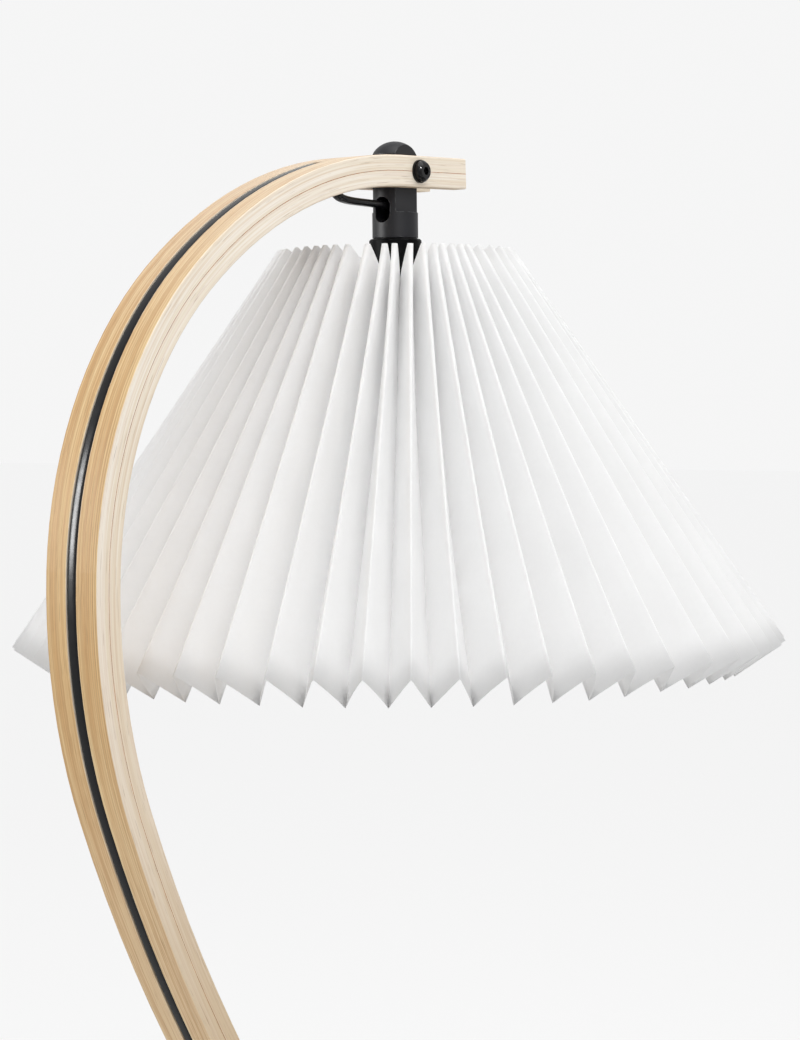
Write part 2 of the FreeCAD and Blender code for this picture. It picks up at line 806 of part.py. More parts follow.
# ---------------------------------------------------------------- cord in the arm and the head
def leads():
    edges = lead_edges()
    parts["arm_lead"] = cord_along(edges, lead_end, V(1, 0, 0), V(0, 0, 1))
    check_volume("arm_lead", parts["arm_lead"], edges)
    x, z = dive_end[:2]
    level = pivot_height + cord_slot_middle + 0.6 * cord_thick
    fall = z - level - dive_radius * (1 - math.cos(math.radians(dive_slope)))
    slope_run = fall / math.sin(math.radians(dive_slope))
    route = [straight(slope_run), bend(dive_radius, dive_slope)]
    curve_end = stations((x, z), -dive_slope, route)[-1]
    route += [straight(head_drop - head_bend - curve_end[0]), bend(head_bend, -90.0), straight(head_tail)]
    head_edges = route_edges((x, z), -dive_slope, route)
    slope = math.radians(dive_slope)
    normal = V(math.sin(slope), 0, math.cos(slope))
    parts["head_lead"] = cord_along(head_edges, V(x, 0, z), V(0, 1, 0), normal)
    check_volume("head_lead", parts["head_lead"], head_edges)


def bare_cores():
    """The two insulated cores, from the end of the sheath down to the lampholder's terminals."""
    top = cord_slot_middle + 0.6 * cord_thick - head_bend - head_tail
    low = holder_top + terminal_radius + fit_gap
    cores = []
    for side in (-1, 1):
        x = side * terminal_spread
        places = [
            V(head_drop, side * core_spread, top - shade_gap),
            V(head_drop, side * core_spread, top - core_splay / 2),
            V(x, 0, low + core_splay / 2),
            V(x, 0, low),
        ]
        edges = rounded(places, "core")
        rim = Part.Wire(Part.makeCircle(core_radius, places[0], V(0, 0, 1)))
        cores.append(Part.Wire(Part.__sortEdges__(edges)).makePipeShell([rim], True, False))
    return Part.makeCompound(cores)


# ---------------------------------------------------------------- foot
def base():
    low = pad_thick
    crown = Part.Arc(V(base_radius - base_edge_round, 0, base_rim_high + base_edge_round),
                     V(base_radius / 2, 0, base_rim_high + (base_crown_high - base_rim_high) * base_crown_share),
                     V(0, 0, base_crown_high)).toShape()
    corner = Part.Arc(V(base_radius, 0, base_rim_high),
                      V(base_radius - base_edge_round * (1 - math.sqrt(0.5)), 0,
                        base_rim_high + base_edge_round * math.sqrt(0.5)),
                      V(base_radius - base_edge_round, 0, base_rim_high + base_edge_round)).toShape()
    outline = [
        Part.makeLine(V(0, 0, low), V(base_radius - base_under_edge, 0, low)),
        Part.makeLine(V(base_radius - base_under_edge, 0, low), V(base_radius, 0, low + base_under_edge)),
        Part.makeLine(V(base_radius, 0, low + base_under_edge), V(base_radius, 0, base_rim_high)),
        corner,
        crown,
        Part.makeLine(V(0, 0, base_crown_high), V(0, 0, low)),
    ]
    disc = Part.Face(Part.Wire(outline)).revolve(V(0, 0, 0), V(0, 0, 1), 360)
    back = socket_heading - 180.0
    half = arm_thick / 2 + socket_wall
    start = stations(foot[:2], foot[2], [straight(socket_sink)])[-1]
    reach = socket_long + socket_sink
    block = ribbon(start[:2], back, [straight(reach)], -half, half, arm_width + 2 * socket_wall)
    long_edges = [edge for edge in block.Edges if abs(edge.Length - reach) < 1e-6]
    block = block.makeFillet(socket_corner, long_edges)
    pocket_half = arm_thick / 2 + fit_gap
    pocket = ribbon(foot[:2], back, [straight(socket_long + 10)], -pocket_half, pocket_half,
                    arm_width + 2 * fit_gap)
    solid = disc.fuse(block)
    below = Part.makeBox(4 * base_radius, 4 * base_radius, 100)
    below.translate(V(-2 * base_radius, -2 * base_radius, pad_thick - 100))
    solid = solid.cut([pocket, below])
    half = cord_thick / 2 + cord_room
    wide = cord_wide + 2 * cord_room
    tunnel_start = stations(lead_top, groove_heading, groove_route[:4])[-1]
    way = groove_route[4:]
    cut_a = ribbon(tunnel_start[:2], tunnel_start[2], way, -half, half, wide)
    keep = Part.makeBox(4 * base_radius, 4 * base_radius, tunnel_top)
    keep.translate(V(-2 * base_radius, -2 * base_radius, 0))
    cut_a = cut_a.common(keep)
    x = tunnel_end[0]
    reach = half + cord_level - pad_thick
    ring = Part.makeCylinder(plan_radius + wide / 2, reach, V(x, plan_radius, pad_thick))
    ring = ring.cut(Part.makeCylinder(plan_radius - wide / 2, reach, V(x, plan_radius, pad_thick)))
    quarter = Part.makeBox(2 * plan_radius, plan_radius + wide / 2, reach)
    quarter.translate(V(x, -wide / 2, pad_thick))
    ring = ring.common(quarter)
    channel = Part.makeBox(wide, base_radius, reach)
    channel.translate(V(exit_x - wide / 2, plan_radius, pad_thick))
    seat = Part.makeCylinder(relief_root_radius + fit_gap, relief_seat + 4, V(exit_x, exit_y - relief_seat, cord_level),
                             V(0, 1, 0))
    mouth = Part.makeBox(2 * (relief_root_radius + fit_gap), relief_seat + 4, cord_level - pad_thick)
    mouth.translate(V(exit_x - relief_root_radius - fit_gap, exit_y - relief_seat, pad_thick))
    solid = solid.cut([cut_a, ring, channel, seat, mouth])
    holes = []
    for side in (-1, 1):
        x = exit_x + side * clamp_screw_pitch / 2
        holes.append(Part.makeCylinder(clamp_screw_radius, clamp_screw_long, V(x, clamp_y, pad_thick)))
    pocket = Part.makeBox(clamp_long + 2 * clamp_play, clamp_wide + 2 * clamp_play,
                          clamp_bottom() + clamp_thick - pad_thick)
    pocket.translate(V(exit_x - clamp_long / 2 - clamp_play, clamp_y - clamp_wide / 2 - clamp_play, pad_thick))
    solid = solid.cut(holes + [pocket])
    for place in foot_screw_places():
        side = arm_width / 2 + socket_wall
        solid = solid.cut(tube(foot_screw_radius + fit_gap, 2 * side, place - V(0, side, 0), V(0, 1, 0)))
    parts["base_casting"] = solid.removeSplitter()
    parts["base_pad"] = Part.makeCylinder(pad_radius, pad_thick)


def clamp_bottom():
    """Underside of the cord clamp, which presses the cord up against its channel's roof."""
    return cord_level - cord_thick / 2 - clamp_thick - fit_gap


def base_fittings():
    low = clamp_bottom()
    bar = Part.makeBox(clamp_long, clamp_wide, clamp_thick)
    bar.translate(V(exit_x - clamp_long / 2, clamp_y - clamp_wide / 2, low))
    screws = []
    for side in (-1, 1):
        x = exit_x + side * clamp_screw_pitch / 2
        hole = clamp_screw_radius + fit_gap
        bar = bar.cut(Part.makeCylinder(hole, 3 * clamp_thick, V(x, clamp_y, low - clamp_thick)))
        shank = Part.makeCylinder(clamp_screw_radius, pad_thick + clamp_screw_long - low, V(x, clamp_y, low))
        screws.append(shank)
    parts["cord_clamp"] = bar
    parts["clamp_screws"] = Part.makeCompound(screws)
    side = arm_width / 2 + socket_wall
    bolts = []
    for place in foot_screw_places():
        shank = Part.makeCylinder(foot_screw_radius, 2 * side - 1, place - V(0, side, 0), V(0, 1, 0))
        top = place - V(0, side + foot_screw_head_high, 0)
        head_solid = Part.makeCylinder(foot_screw_head_radius, foot_screw_head_high, top, V(0, 1, 0))
        dome = Part.makeSphere(foot_screw_head_radius * 1.2, place - V(0, side - 1.2, 0))
        head_solid = head_solid.common(dome)
        key = Part.makeCylinder(foot_key_radius, foot_key_deep, top, V(0, 1, 0))
        bolts.append(shank.fuse(head_solid).cut(key))
    parts["foot_screws"] = Part.makeCompound(bolts)
    inner = exit_y - relief_seat
    cone = Part.makeCone(relief_root_radius, relief_tip_radius, relief_long, V(exit_x, inner, cord_level), V(0, 1, 0))
    section = cord_section(V(exit_x, inner - 1, cord_level), V(1, 0, 0), V(0, 0, 1), fit_gap)
    bore = Part.Face(section).extrude(V(0, relief_long + 2, 0))
    parts["strain_relief"] = cone.cut(bore)


# ---------------------------------------------------------------- free cord, switch, coil and plug
table_level = cord_thick / 2 + 0.1
coil_level = coil_lift + cord_thick / 2
upper_level = coil_level + layer_pitch
switch_middle = V(-49.0, 158.5, 0)
coil_middle = V(-128.0, 158.0 - coil_outer, 0)
cord_entry = switch_middle + V(switch_long / 2, 0, switch_split)
cord_leave = switch_middle + V(-switch_long / 2, 0, switch_split)
coil_join = coil_middle + V(0, coil_outer, coil_level)

# The points are chosen by hand; each height is the middle of the flat cord.
free_cord_points = [
    lead_end,
    V(exit_x, 131.2, cord_level),
    V(36.6, 148.4, 3.0),
    V(19.3, 158.2, table_level + 0.5),
    V(-0.7, 158.9, switch_split),
    cord_entry,
]
switch_lead_points = [
    cord_leave,
    V(-91.0, 158.9, switch_split),
    V(-110.0, 158.0, coil_level),
    coil_join,
]


def half_turns(centre, radius, angle, count, change, level):
    """Half circles that join smoothly while each one's radius differs by change."""
    edges = []
    for _ in range(count):
        rim = []
        for degrees in (angle, angle + 90, angle + 180):
            a = math.radians(degrees)
            rim.append(centre + V(radius * math.cos(a), radius * math.sin(a), level))
        edges.append(Part.Arc(*rim).toShape())
        a = math.radians(angle + 180)
        centre = centre - V(change * math.cos(a), change * math.sin(a), 0)
        radius += change
        angle += 180
    return edges, centre, radius, angle


def climb(centre, radius, angle, level, rise):
    """A half turn of two tilted quarter circles that ends one layer higher."""
    tilt = math.asin(rise / (2 * radius))
    a = math.radians(angle)
    out = V(math.cos(a), math.sin(a), 0)
    along = V(-math.sin(a), math.cos(a), 0)
    low_out = out * math.cos(tilt) - V(0, 0, math.sin(tilt))
    high_in = out * -math.cos(tilt) + V(0, 0, math.sin(tilt))
    start = centre + out * radius + V(0, 0, level)
    heart = start - low_out * radius
    root = math.sqrt(0.5) * radius
    middle = heart + along * radius
    last = heart + high_in * radius
    first = Part.Arc(start, heart + (low_out + along) * root, middle)
    second = Part.Arc(middle, heart + (along + high_in) * root, last)
    return [first.toShape(), second.toShape()], last


def coil_route():
    """Spiral in on the table, one climbing half turn, and spiral out again on top."""
    change = coil_pitch / 2
    edges, centre, radius, angle = half_turns(coil_middle, coil_outer, 90.0, lower_half_turn_count, -change,
                                              coil_level)
    up, last = climb(centre, radius, angle, coil_level, layer_pitch)
    edges += up
    angle += 180
    a = math.radians(angle)
    radius += change
    centre = V(last.x - radius * math.cos(a), last.y - radius * math.sin(a), 0)
    more, centre, radius, angle = half_turns(centre, radius, angle, upper_half_turn_count, change, upper_level)
    edges += more
    a = math.radians(angle)
    return edges, centre + V(radius * math.cos(a), radius * math.sin(a), upper_level)


def points_along(edges, step):
    places = []
    run = 0.0
    for edge in edges:
        count = max(int(edge.Length / step), 2)
        span = edge.LastParameter - edge.FirstParameter
        for i in range(count):
            places.append((run + edge.Length * i / count, edge.valueAt(edge.FirstParameter + span * i / count)))
        run += edge.Length
    return places


def least_gap(edges):
    """Least gap between two turns of the flat cord, on points along its middle line."""
    places = points_along(edges, 2.0)
    gap = coil_outer
    for i, (s, p) in enumerate(places):
        for t, q in places[i + 1:]:
            if t - s > 4 * cord_wide:
                flat = math.hypot(p.x - q.x, p.y - q.y) - cord_wide
                high = abs(p.z - q.z) - cord_thick
                gap = min(gap, max(flat, high))
    return gap


def free_cord():
    edges = rounded(free_cord_points, "free_cord")
    parts["free_cord"] = cord_along(edges, lead_end, V(1, 0, 0), V(0, 0, 1))
    check_volume("free_cord", parts["free_cord"], edges)
    edges = rounded(switch_lead_points, "switch_lead")
    parts["switch_lead"] = cord_along(edges, cord_leave, V(0, 1, 0), V(0, 0, 1))
    check_volume("switch_lead", parts["switch_lead"], edges)
    edges, end = coil_route()
    parts["cord_coil"] = cord_along(edges, coil_join, V(0, 1, 0), V(0, 0, 1))
    check_volume("cord_coil", parts["cord_coil"], edges)
    print("cord_coil length", round(sum(e.Length for e in edges), 1), "least gap", round(least_gap(edges), 2))
    bundle = [p for s, p in points_along(edges, 2.0)
              if abs(p.x - coil_middle.x) < tie_wide and p.y < coil_middle.y]
    tie(min(p.y for p in bundle), max(p.y for p in bundle))
    edges = rounded(tail_points(end), "cord_tail")
    parts["cord_tail"] = cord_along(edges, end, V(0, 1, 0), V(0, 0, 1))
    check_volume("cord_tail", parts["cord_tail"], edges)


def tie(low_y, high_y):
    """A strap round the bundle, on the side away from the cord's ends."""
    room = cord_wide / 2 + shade_gap
    deep = high_y - low_y + 2 * room
    high = layer_pitch + cord_thick + 2 * shade_gap
    bottom = coil_lift - shade_gap
    inner = Part.makeBox(tie_wide + 2, deep, high)
    inner.translate(V(coil_middle.x - tie_wide / 2 - 1, low_y - room, bottom))
    outer = Part.makeBox(tie_wide, deep + 2 * tie_thick, high + 2 * tie_thick)
    outer.translate(V(coil_middle.x - tie_wide / 2, low_y - room - tie_thick, bottom - tie_thick))
    lengthwise = [e for e in outer.Edges if abs(e.Vertexes[0].X - e.Vertexes[1].X) > tie_thick]
    outer = outer.makeFillet(2 * tie_thick, lengthwise)
    parts["coil_tie"] = outer.cut(inner)


plug_face = V(plug_x, plug_y, plug_high / 2)


def tail_points(end):
    return [
        end,
        end + V(-18.0, 0, 0),
        V(end.x - 36.5, end.y - 4.8, 6.9),
        V(end.x - 51.5, end.y - 17.0, 4.7),
        V(plug_face.x + 1.0, end.y - 35.0, 4.1),
        V(plug_face.x, plug_face.y + 16.0, plug_face.z),
        plug_face,
    ]


def plug():
    """A flat two-pin plug: a tapering moulded body and two pins with insulated roots."""
    half = plug_wide / 2
    neck = plug_neck / 2
    x, y = plug_face.x, plug_face.y
    corners = [
        V(x - neck, y, 0),
        V(x - half, y - plug_shoulder, 0),
        V(x - half, y - plug_shoulder - plug_front, 0),
        V(x + half, y - plug_shoulder - plug_front, 0),
        V(x + half, y - plug_shoulder, 0),
        V(x + neck, y, 0),
        V(x - neck, y, 0),
    ]
    body = Part.Face(Part.makePolygon(corners)).extrude(V(0, 0, plug_high))
    face_y = y - plug_shoulder - plug_front
    kept = []
    for edge in body.Edges:
        ends = [v.Point for v in edge.Vertexes]
        if any(p.y < y - 1e-6 for p in ends) and not all(abs(p.y - face_y) < 1e-6 for p in ends):
            kept.append(edge)
    body = body.makeFillet(plug_round, kept)
    pins = []
    sleeves = []
    for side in (-1, 1):
        at = V(x + side * plug_pin_pitch / 2, face_y, plug_high / 2)
        pin = Part.makeCylinder(plug_pin_radius, plug_pin_long - plug_pin_radius, at, V(0, -1, 0))
        tip_at = at - V(0, plug_pin_long - plug_pin_radius, 0)
        pins.append(pin.fuse(Part.makeSphere(plug_pin_radius, tip_at)))
        root = tube(plug_pin_radius, plug_sleeve_long, at, V(0, -1, 0), 0.0)
        sleeves.append(root)
    parts["plug_body"] = body.fuse(sleeves).removeSplitter()
    metal = [pin.cut(sleeve) for pin, sleeve in zip(pins, sleeves)]
    parts["plug_pins"] = Part.makeCompound(metal)


def switch_block(inset, low, high, corner):
    long = switch_long - 2 * inset
    wide = switch_wide - 2 * inset
    block = Part.makeBox(long, wide, high - low)
    block.translate(switch_middle + V(-long / 2, -wide / 2, low))
    upright = [e for e in block.Edges if abs(e.Vertexes[0].Z - e.Vertexes[1].Z) > 1e-6]
    return block.makeFillet(corner, upright)


def switch():
    inset = switch_wall
    corner = switch_corner - switch_wall
    lower = switch_block(0.0, 0.0, switch_split, switch_corner)
    rim = [e for e in lower.Edges if all(abs(v.Z) < 1e-6 for v in e.Vertexes)]
    lower = lower.makeFillet(switch_foot_round, rim)
    lower = lower.cut(switch_block(inset, switch_wall, switch_split + 1, corner))
    upper = switch_block(0.0, switch_split, switch_high, switch_corner)
    rim = [e for e in upper.Edges if all(abs(v.Z - switch_high) < 1e-6 for v in e.Vertexes)]
    upper = upper.makeFillet(switch_edge, rim)
    upper = upper.cut(switch_block(inset, switch_split - 1, switch_high - switch_wall, corner))
    reach = switch_long / 2 - switch_post_inset
    screws = []
    aside = switch_wide / 2 - switch_wall - switch_post + post_lap
    for side in (-1, 1):
        at = switch_middle + V(side * reach, side * aside, 0)
        floor = at + V(0, 0, post_floor)
        split = at + V(0, 0, switch_split)
        lower = lower.fuse(Part.makeCylinder(switch_post, switch_split - post_floor, floor))
        upper = upper.fuse(Part.makeCylinder(switch_post, switch_high - switch_split - post_floor, split))
        hole = switch_screw_radius + fit_gap
        seat = switch_screw_seat + switch_screw_head_high
        lower = lower.cut(Part.makeCylinder(hole, switch_split, at))
        lower = lower.cut(Part.makeCylinder(2 * hole, seat, at))
        upper = upper.cut(Part.makeCylinder(switch_screw_radius, switch_screw_bite, split))
        under = at + V(0, 0, switch_screw_seat)
        shank = Part.makeCylinder(switch_screw_radius, switch_screw_long, under)
        head_solid = Part.makeCylinder(2 * switch_screw_radius, switch_screw_head_high, under)
        screws.append(shank.fuse(head_solid))
    window_half = rocker_wide / 2 + window_side_play
    window = Part.makeBox(rocker_long + 2 * rocker_play, 2 * window_half, 2 * switch_wall)
    corner = V(-rocker_long / 2 - rocker_play, -window_half, switch_high - 1.5 * switch_wall)
    window.translate(switch_middle + corner)
    upper = upper.cut(window)
    pivot = switch_middle + V(0, 0, switch_high - rocker_pivot_below_top)
    for y in (window_half, -window_half - cheek_thick):
        cheek = Part.makeBox(cheek_long, cheek_thick, cheek_high)
        cheek.translate(V(pivot.x - cheek_long / 2, pivot.y + y, switch_high - switch_wall - cheek_high + 1))
        upper = upper.fuse(cheek)
    long_pin = rocker_wide + 2 * rocker_pin_long
    long_hole = long_pin + 2 * pin_end_play
    upper = upper.cut(tube(rocker_pin_radius + hinge_play, long_hole, pivot - V(0, long_hole / 2, 0), V(0, 1, 0)))
    half = rocker_long / 2
    outline = [
        V(pivot.x - half, 0, pivot.z - rocker_below),
        V(pivot.x + half, 0, pivot.z - rocker_below),
        V(pivot.x + half, 0, pivot.z + rocker_end_high),
        V(pivot.x, 0, pivot.z + rocker_middle_high),
        V(pivot.x - half, 0, pivot.z + rocker_end_high),
        V(pivot.x - half, 0, pivot.z - rocker_below),
    ]
    rocker = Part.Face(Part.makePolygon(outline)).extrude(V(0, rocker_wide, 0))
    rocker.translate(V(0, pivot.y - rocker_wide / 2, 0))
    rocker = rocker.fuse(tube(rocker_pin_radius, long_pin, pivot - V(0, long_pin / 2, 0), V(0, 1, 0)))
    rocker.rotate(pivot, V(0, 1, 0), -rocker_angle)
    for solid_end, side in ((cord_entry, 1), (cord_leave, -1)):
        notch_start = solid_end + V(side * 1.0, 0, 0)
        section = cord_section(notch_start, V(0, 1, 0), V(0, 0, 1), fit_gap)
        notch = Part.Face(section).extrude(V(-side * (switch_wall + 2.0), 0, 0))
        lower = lower.cut(notch)
        upper = upper.cut(notch)
    ends = []
    for solid_end, side in ((cord_entry, 1), (cord_leave, -1)):
        section = cord_section(solid_end - V(side * 2 * fit_gap, 0, 0), V(0, 1, 0), V(0, 0, 1))
        ends.append(Part.Face(section).extrude(V(-side * cord_grip, 0, 0)))
    parts["switch_lower_shell"] = lower
    parts["switch_upper_shell"] = upper
    parts["switch_screws"] = Part.makeCompound(screws)
    parts["switch_rocker"] = rocker
    parts["switch_cord_ends"] = Part.makeCompound(ends)
    strips = []
    for side in (-1, 1):
        strip = Part.makeBox(contact_long, contact_wide, contact_thick)
        start = contact_inner if side > 0 else -contact_inner - contact_long
        strip.translate(switch_middle + V(start, -contact_wide / 2, switch_wall))
        stand = Part.makeBox(contact_thick, contact_wide, contact_stand)
        start = contact_inner if side > 0 else -contact_inner - contact_thick
        stand.translate(switch_middle + V(start, -contact_wide / 2, switch_wall))
        strips.append(strip.fuse(stand))
    parts["switch_contacts"] = Part.makeCompound(strips)
    print("rocker pin at", [round(v, 2) for v in pivot])


parts_to_make = [arm, tilt_joint, head, leads, base, base_fittings, free_cord, plug, switch]


def main():
    os.makedirs("parts", exist_ok=True)
    for make in parts_to_make:
        make()
    for name, shape in parts.items():
        if not shape.isValid():
            print("not valid:", name)
        shape.exportStep("parts/" + name + ".step")
    print(len(parts), "nodes; head nodes:", ", ".join(head_nodes))
    print("bow's foot", [round(v, 2) for v in foot], "cord leaves the foot at", lead_end)


main()
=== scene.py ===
# %% [markdown]
# # Pleated paper lamp on a laminated oak bow
#
# This notebook dresses a finished technical model.  The model gives every solid its exact
# place, in metres, with the table at height zero and the bow standing in the XZ plane.
# Here each solid gets the surface of the real thing.  The soft pieces, the folded paper
# and the cord, are built again as what they are, because a stiff solid can only hint at them.

import math
import random

import bpy
from mathutils import Matrix, Vector


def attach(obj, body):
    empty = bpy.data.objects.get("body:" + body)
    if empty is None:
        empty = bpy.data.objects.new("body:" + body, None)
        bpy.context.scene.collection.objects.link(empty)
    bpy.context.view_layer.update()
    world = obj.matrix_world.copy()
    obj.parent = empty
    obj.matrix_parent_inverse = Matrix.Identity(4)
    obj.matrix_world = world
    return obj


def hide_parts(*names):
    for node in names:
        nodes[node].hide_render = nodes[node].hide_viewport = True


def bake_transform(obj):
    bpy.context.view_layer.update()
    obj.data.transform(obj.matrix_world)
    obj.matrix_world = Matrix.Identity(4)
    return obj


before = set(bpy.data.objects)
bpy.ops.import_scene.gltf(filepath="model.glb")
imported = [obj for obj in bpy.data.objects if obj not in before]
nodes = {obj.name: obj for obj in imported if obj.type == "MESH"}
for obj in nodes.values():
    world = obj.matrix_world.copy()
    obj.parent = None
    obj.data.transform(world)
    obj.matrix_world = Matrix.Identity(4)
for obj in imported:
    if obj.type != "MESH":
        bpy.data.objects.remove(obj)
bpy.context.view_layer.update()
print("pieces in the technical model:", len(nodes))

MM = 0.001
screw_height = 0.680
head_lean = math.radians(0.85)
random.seed(57)


def put_in_scene(thing):
    bpy.context.scene.collection.objects.link(thing)
    return thing


# %% [markdown]
# ## The camera
#
# The picture was taken with a long lens from behind the bow and a little to its right,
# level with the lower third of the shade.  A long lens keeps the round shade from
# bulging.  The place and the focal length come from lining up the tilt screw, the rim of
# the shade and the curve of the bow.

# %% Place the camera
camera_data = bpy.data.cameras.new("camera")
camera_data.sensor_fit = "HORIZONTAL"
camera_data.sensor_width = 36.0
camera_data.lens = 112.5
camera_data.clip_end = 50.0
camera = put_in_scene(bpy.data.objects.new("camera", camera_data))
camera.location = (-1.0519, -0.7690, 0.5461)
looking = Vector((0.80801, 0.58811, -0.03539))
camera.rotation_mode = "QUATERNION"
camera.rotation_quaternion = looking.to_track_quat("-Z", "Y")
bpy.context.scene.camera = camera
print("camera at", [round(v, 3) for v in camera.location])

# %% [markdown]
# ## The mains lead
#
# The lead is a flat cord: two wires side by side in one black sheath.  It leaves the foot,
# lies down on the table, passes a switch and ends in a flat plug.  The spare length is
# wound into a neat coil of two layers with a strap round it.
#
# A cord is one smooth line, so each stretch is a NURBS curve whose control points are the
# corners of its route.  The outline that is swept along it lies flat because the curve's
# twist is kept upright.

# %% The route's points, in millimetres
foot_exit = (46.05, 112.36, 5.2)
switch_exit = (-78.0, 158.5, 5.6)
lead_route = [
    foot_exit,
    (46.05, 131.2, 5.2),
    (36.6, 148.4, 3.0),
    (19.3, 158.2, 2.45),
    (-0.7, 158.9, 5.6),
    (-20.0, 158.5, 5.6),
]
after_switch = [
    switch_exit,
    (-91.0, 158.9, 5.6),
    (-110.0, 158.0, 3.05),
]
coil_centre = (-128.0, 114.5)
coil_radius = 43.5
coil_step = 3.2
half_turns_in, half_turns_out = 7, 6
steps_per_half_turn = 15
lower_level = 3.05
upper_level = 7.45


def coil_points():
    """Spiral in on the table, climb half a turn, and spiral out again on top."""
    points = []
    x, y = coil_centre
    radius = coil_radius
    angle = 90.0
    steps = steps_per_half_turn
    plan = [(-coil_step, lower_level, lower_level)] * half_turns_in
    plan += [(0.0, lower_level, upper_level)]
    plan += [(coil_step, upper_level, upper_level)] * half_turns_out
    for number, (change, low, high) in enumerate(plan):
        if number == half_turns_in + 1:
            a = math.radians(angle)
            x, y = x - coil_step * math.cos(a), y - coil_step * math.sin(a)
            radius += coil_step
        for i in range(steps):
            a = math.radians(angle + 180.0 * i / steps)
            share = i / steps
            level = low + (high - low) * share * share * (3 - 2 * share)
            points.append((x + radius * math.cos(a), y + radius * math.sin(a), level))
        angle += 180.0
        a = math.radians(angle)
        x, y = x - change * math.cos(a), y - change * math.sin(a)
        radius += change
    a = math.radians(angle)
    points.append((x + radius * math.cos(a), y + radius * math.sin(a), upper_level))
    return points


coil = coil_points()
coil_end = coil[-1]
tail_route = [
    (coil_end[0] - 18.0, coil_end[1], coil_end[2]),
    (coil_end[0] - 36.5, coil_end[1] - 4.8, 6.9),
    (coil_end[0] - 51.5, coil_end[1] - 17.0, 4.7),
    (-190.0, coil_end[1] - 35.0, 4.1),
    (-191.0, 100.0, 6.85),
    (-191.0, 84.0, 6.85),
]
print("the coil ends at", [round(v, 1) for v in coil_end], "with", len(coil), "points")

# %% Flat outline of the cord
cord_wide = 5.6 * MM
cord_thick = 3.7 * MM

outline_count = 28


def flat_outline(waist=0.0):
    """Points round the flat cord, across and up; the waist sinks between its two wires."""
    flat = (cord_wide - cord_thick) / 2
    points = []
    for i in range(outline_count):
        a = 2 * math.pi * (i + 0.5) / outline_count
        side = math.copysign(flat, math.cos(a))
        across = side * min(1.0, abs(math.cos(a)) * 3) + cord_thick / 2 * math.cos(a)
        sink = 1.0 - waist * math.exp(-((across / (0.35 * flat + 1e-9)) ** 2))
        points.append((across, cord_thick / 2 * math.sin(a) * sink))
    return points


def outline_curve():
    """The outline as a hidden curve, in millimetres; the line's own radius makes it metres."""
    data = bpy.data.curves.new("cord_outline", "CURVE")
    spline = data.splines.new("POLY")
    outline = flat_outline()
    spline.points.add(len(outline) - 1)
    for point, (across, up) in zip(spline.points, outline):
        point.co = (across / MM, up / MM, 0.0, 1.0)
    spline.use_cyclic_u = True
    shape = put_in_scene(bpy.data.objects.new("cord_outline", data))
    shape.hide_render = True
    shape.hide_viewport = True
    return shape


def nurbs_line(name, points, resolution):
    """One smooth open line with the route's corners as its control points."""
    data = bpy.data.curves.new(name, "CURVE")
    data.dimensions = "3D"
    data.twist_mode = "Z_UP"
    data.resolution_u = resolution
    spline = data.splines.new("NURBS")
    spline.points.add(len(points) - 1)
    for point, place in zip(spline.points, points):
        point.co = (place[0] * MM, place[1] * MM, place[2] * MM, 1.0)
        point.radius = MM
    spline.order_u = 3
    spline.use_endpoint_u = True
    return put_in_scene(bpy.data.objects.new(name, data))


# %% Lay the two stretches of cord
def points_of(line):
    """The line's own points, as the curve gives them without any outline on it."""
    bpy.context.view_layer.update()
    graph = bpy.context.evaluated_depsgraph_get()
    mesh = bpy.data.meshes.new_from_object(line.evaluated_get(graph))
    points = [v.co.copy() for v in mesh.vertices]
    bpy.data.meshes.remove(mesh)
    return points


def length_of(points):
    return sum((b - a).length for a, b in zip(points, points[1:]))


outline_shape = outline_curve()
cord_to_switch = nurbs_line("cord_to_switch", lead_route, 12)
cord_to_plug = nurbs_line("cord_to_plug", after_switch + coil + tail_route, 3)
for line in (cord_to_switch, cord_to_plug):
    length = length_of(points_of(line))
    line.data.bevel_mode = "OBJECT"
    line.data.bevel_object = outline_shape
    line.data.use_fill_caps = True
    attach(line, "stand")
    print(line.name, "is", round(length / MM), "mm long")
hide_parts("free_cord")
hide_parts("switch_lead", "cord_coil", "cord_tail")

# %% [markdown]
# ## The strap round the coil
#
# A soft strap keeps the spare cord together.  It goes once round the bundle, its end laps
# over the start and stays stuck there.

# %% Tubes along a line
def tube_faces(rings, count):
    """Four-sided faces between neighbouring rings of points, and a lid at each end."""
    faces = []
    for ring in range(rings - 1):
        low, high = ring * count, (ring + 1) * count
        for i in range(count):
            j = (i + 1) % count
            faces.append((low + i, low + j, high + j, high + i))
    faces.append(tuple(range(count))[::-1])
    faces.append(tuple(range((rings - 1) * count, rings * count)))
    return faces


def new_piece(name, corners, faces):
    mesh = bpy.data.meshes.new(name)
    mesh.from_pydata([tuple(c) for c in corners], [], faces)
    mesh.update()
    return put_in_scene(bpy.data.objects.new(name, mesh))


# %% Wrap the strap
strap_thick = 0.8 * MM
strap_corner = 1.8 * MM
steps_per_corner = 6


def box_of(piece):
    corners = [piece.matrix_world @ Vector(c) for c in piece.bound_box]
    return [[f(c[k] for c in corners) for k in range(3)] for f in (min, max)]


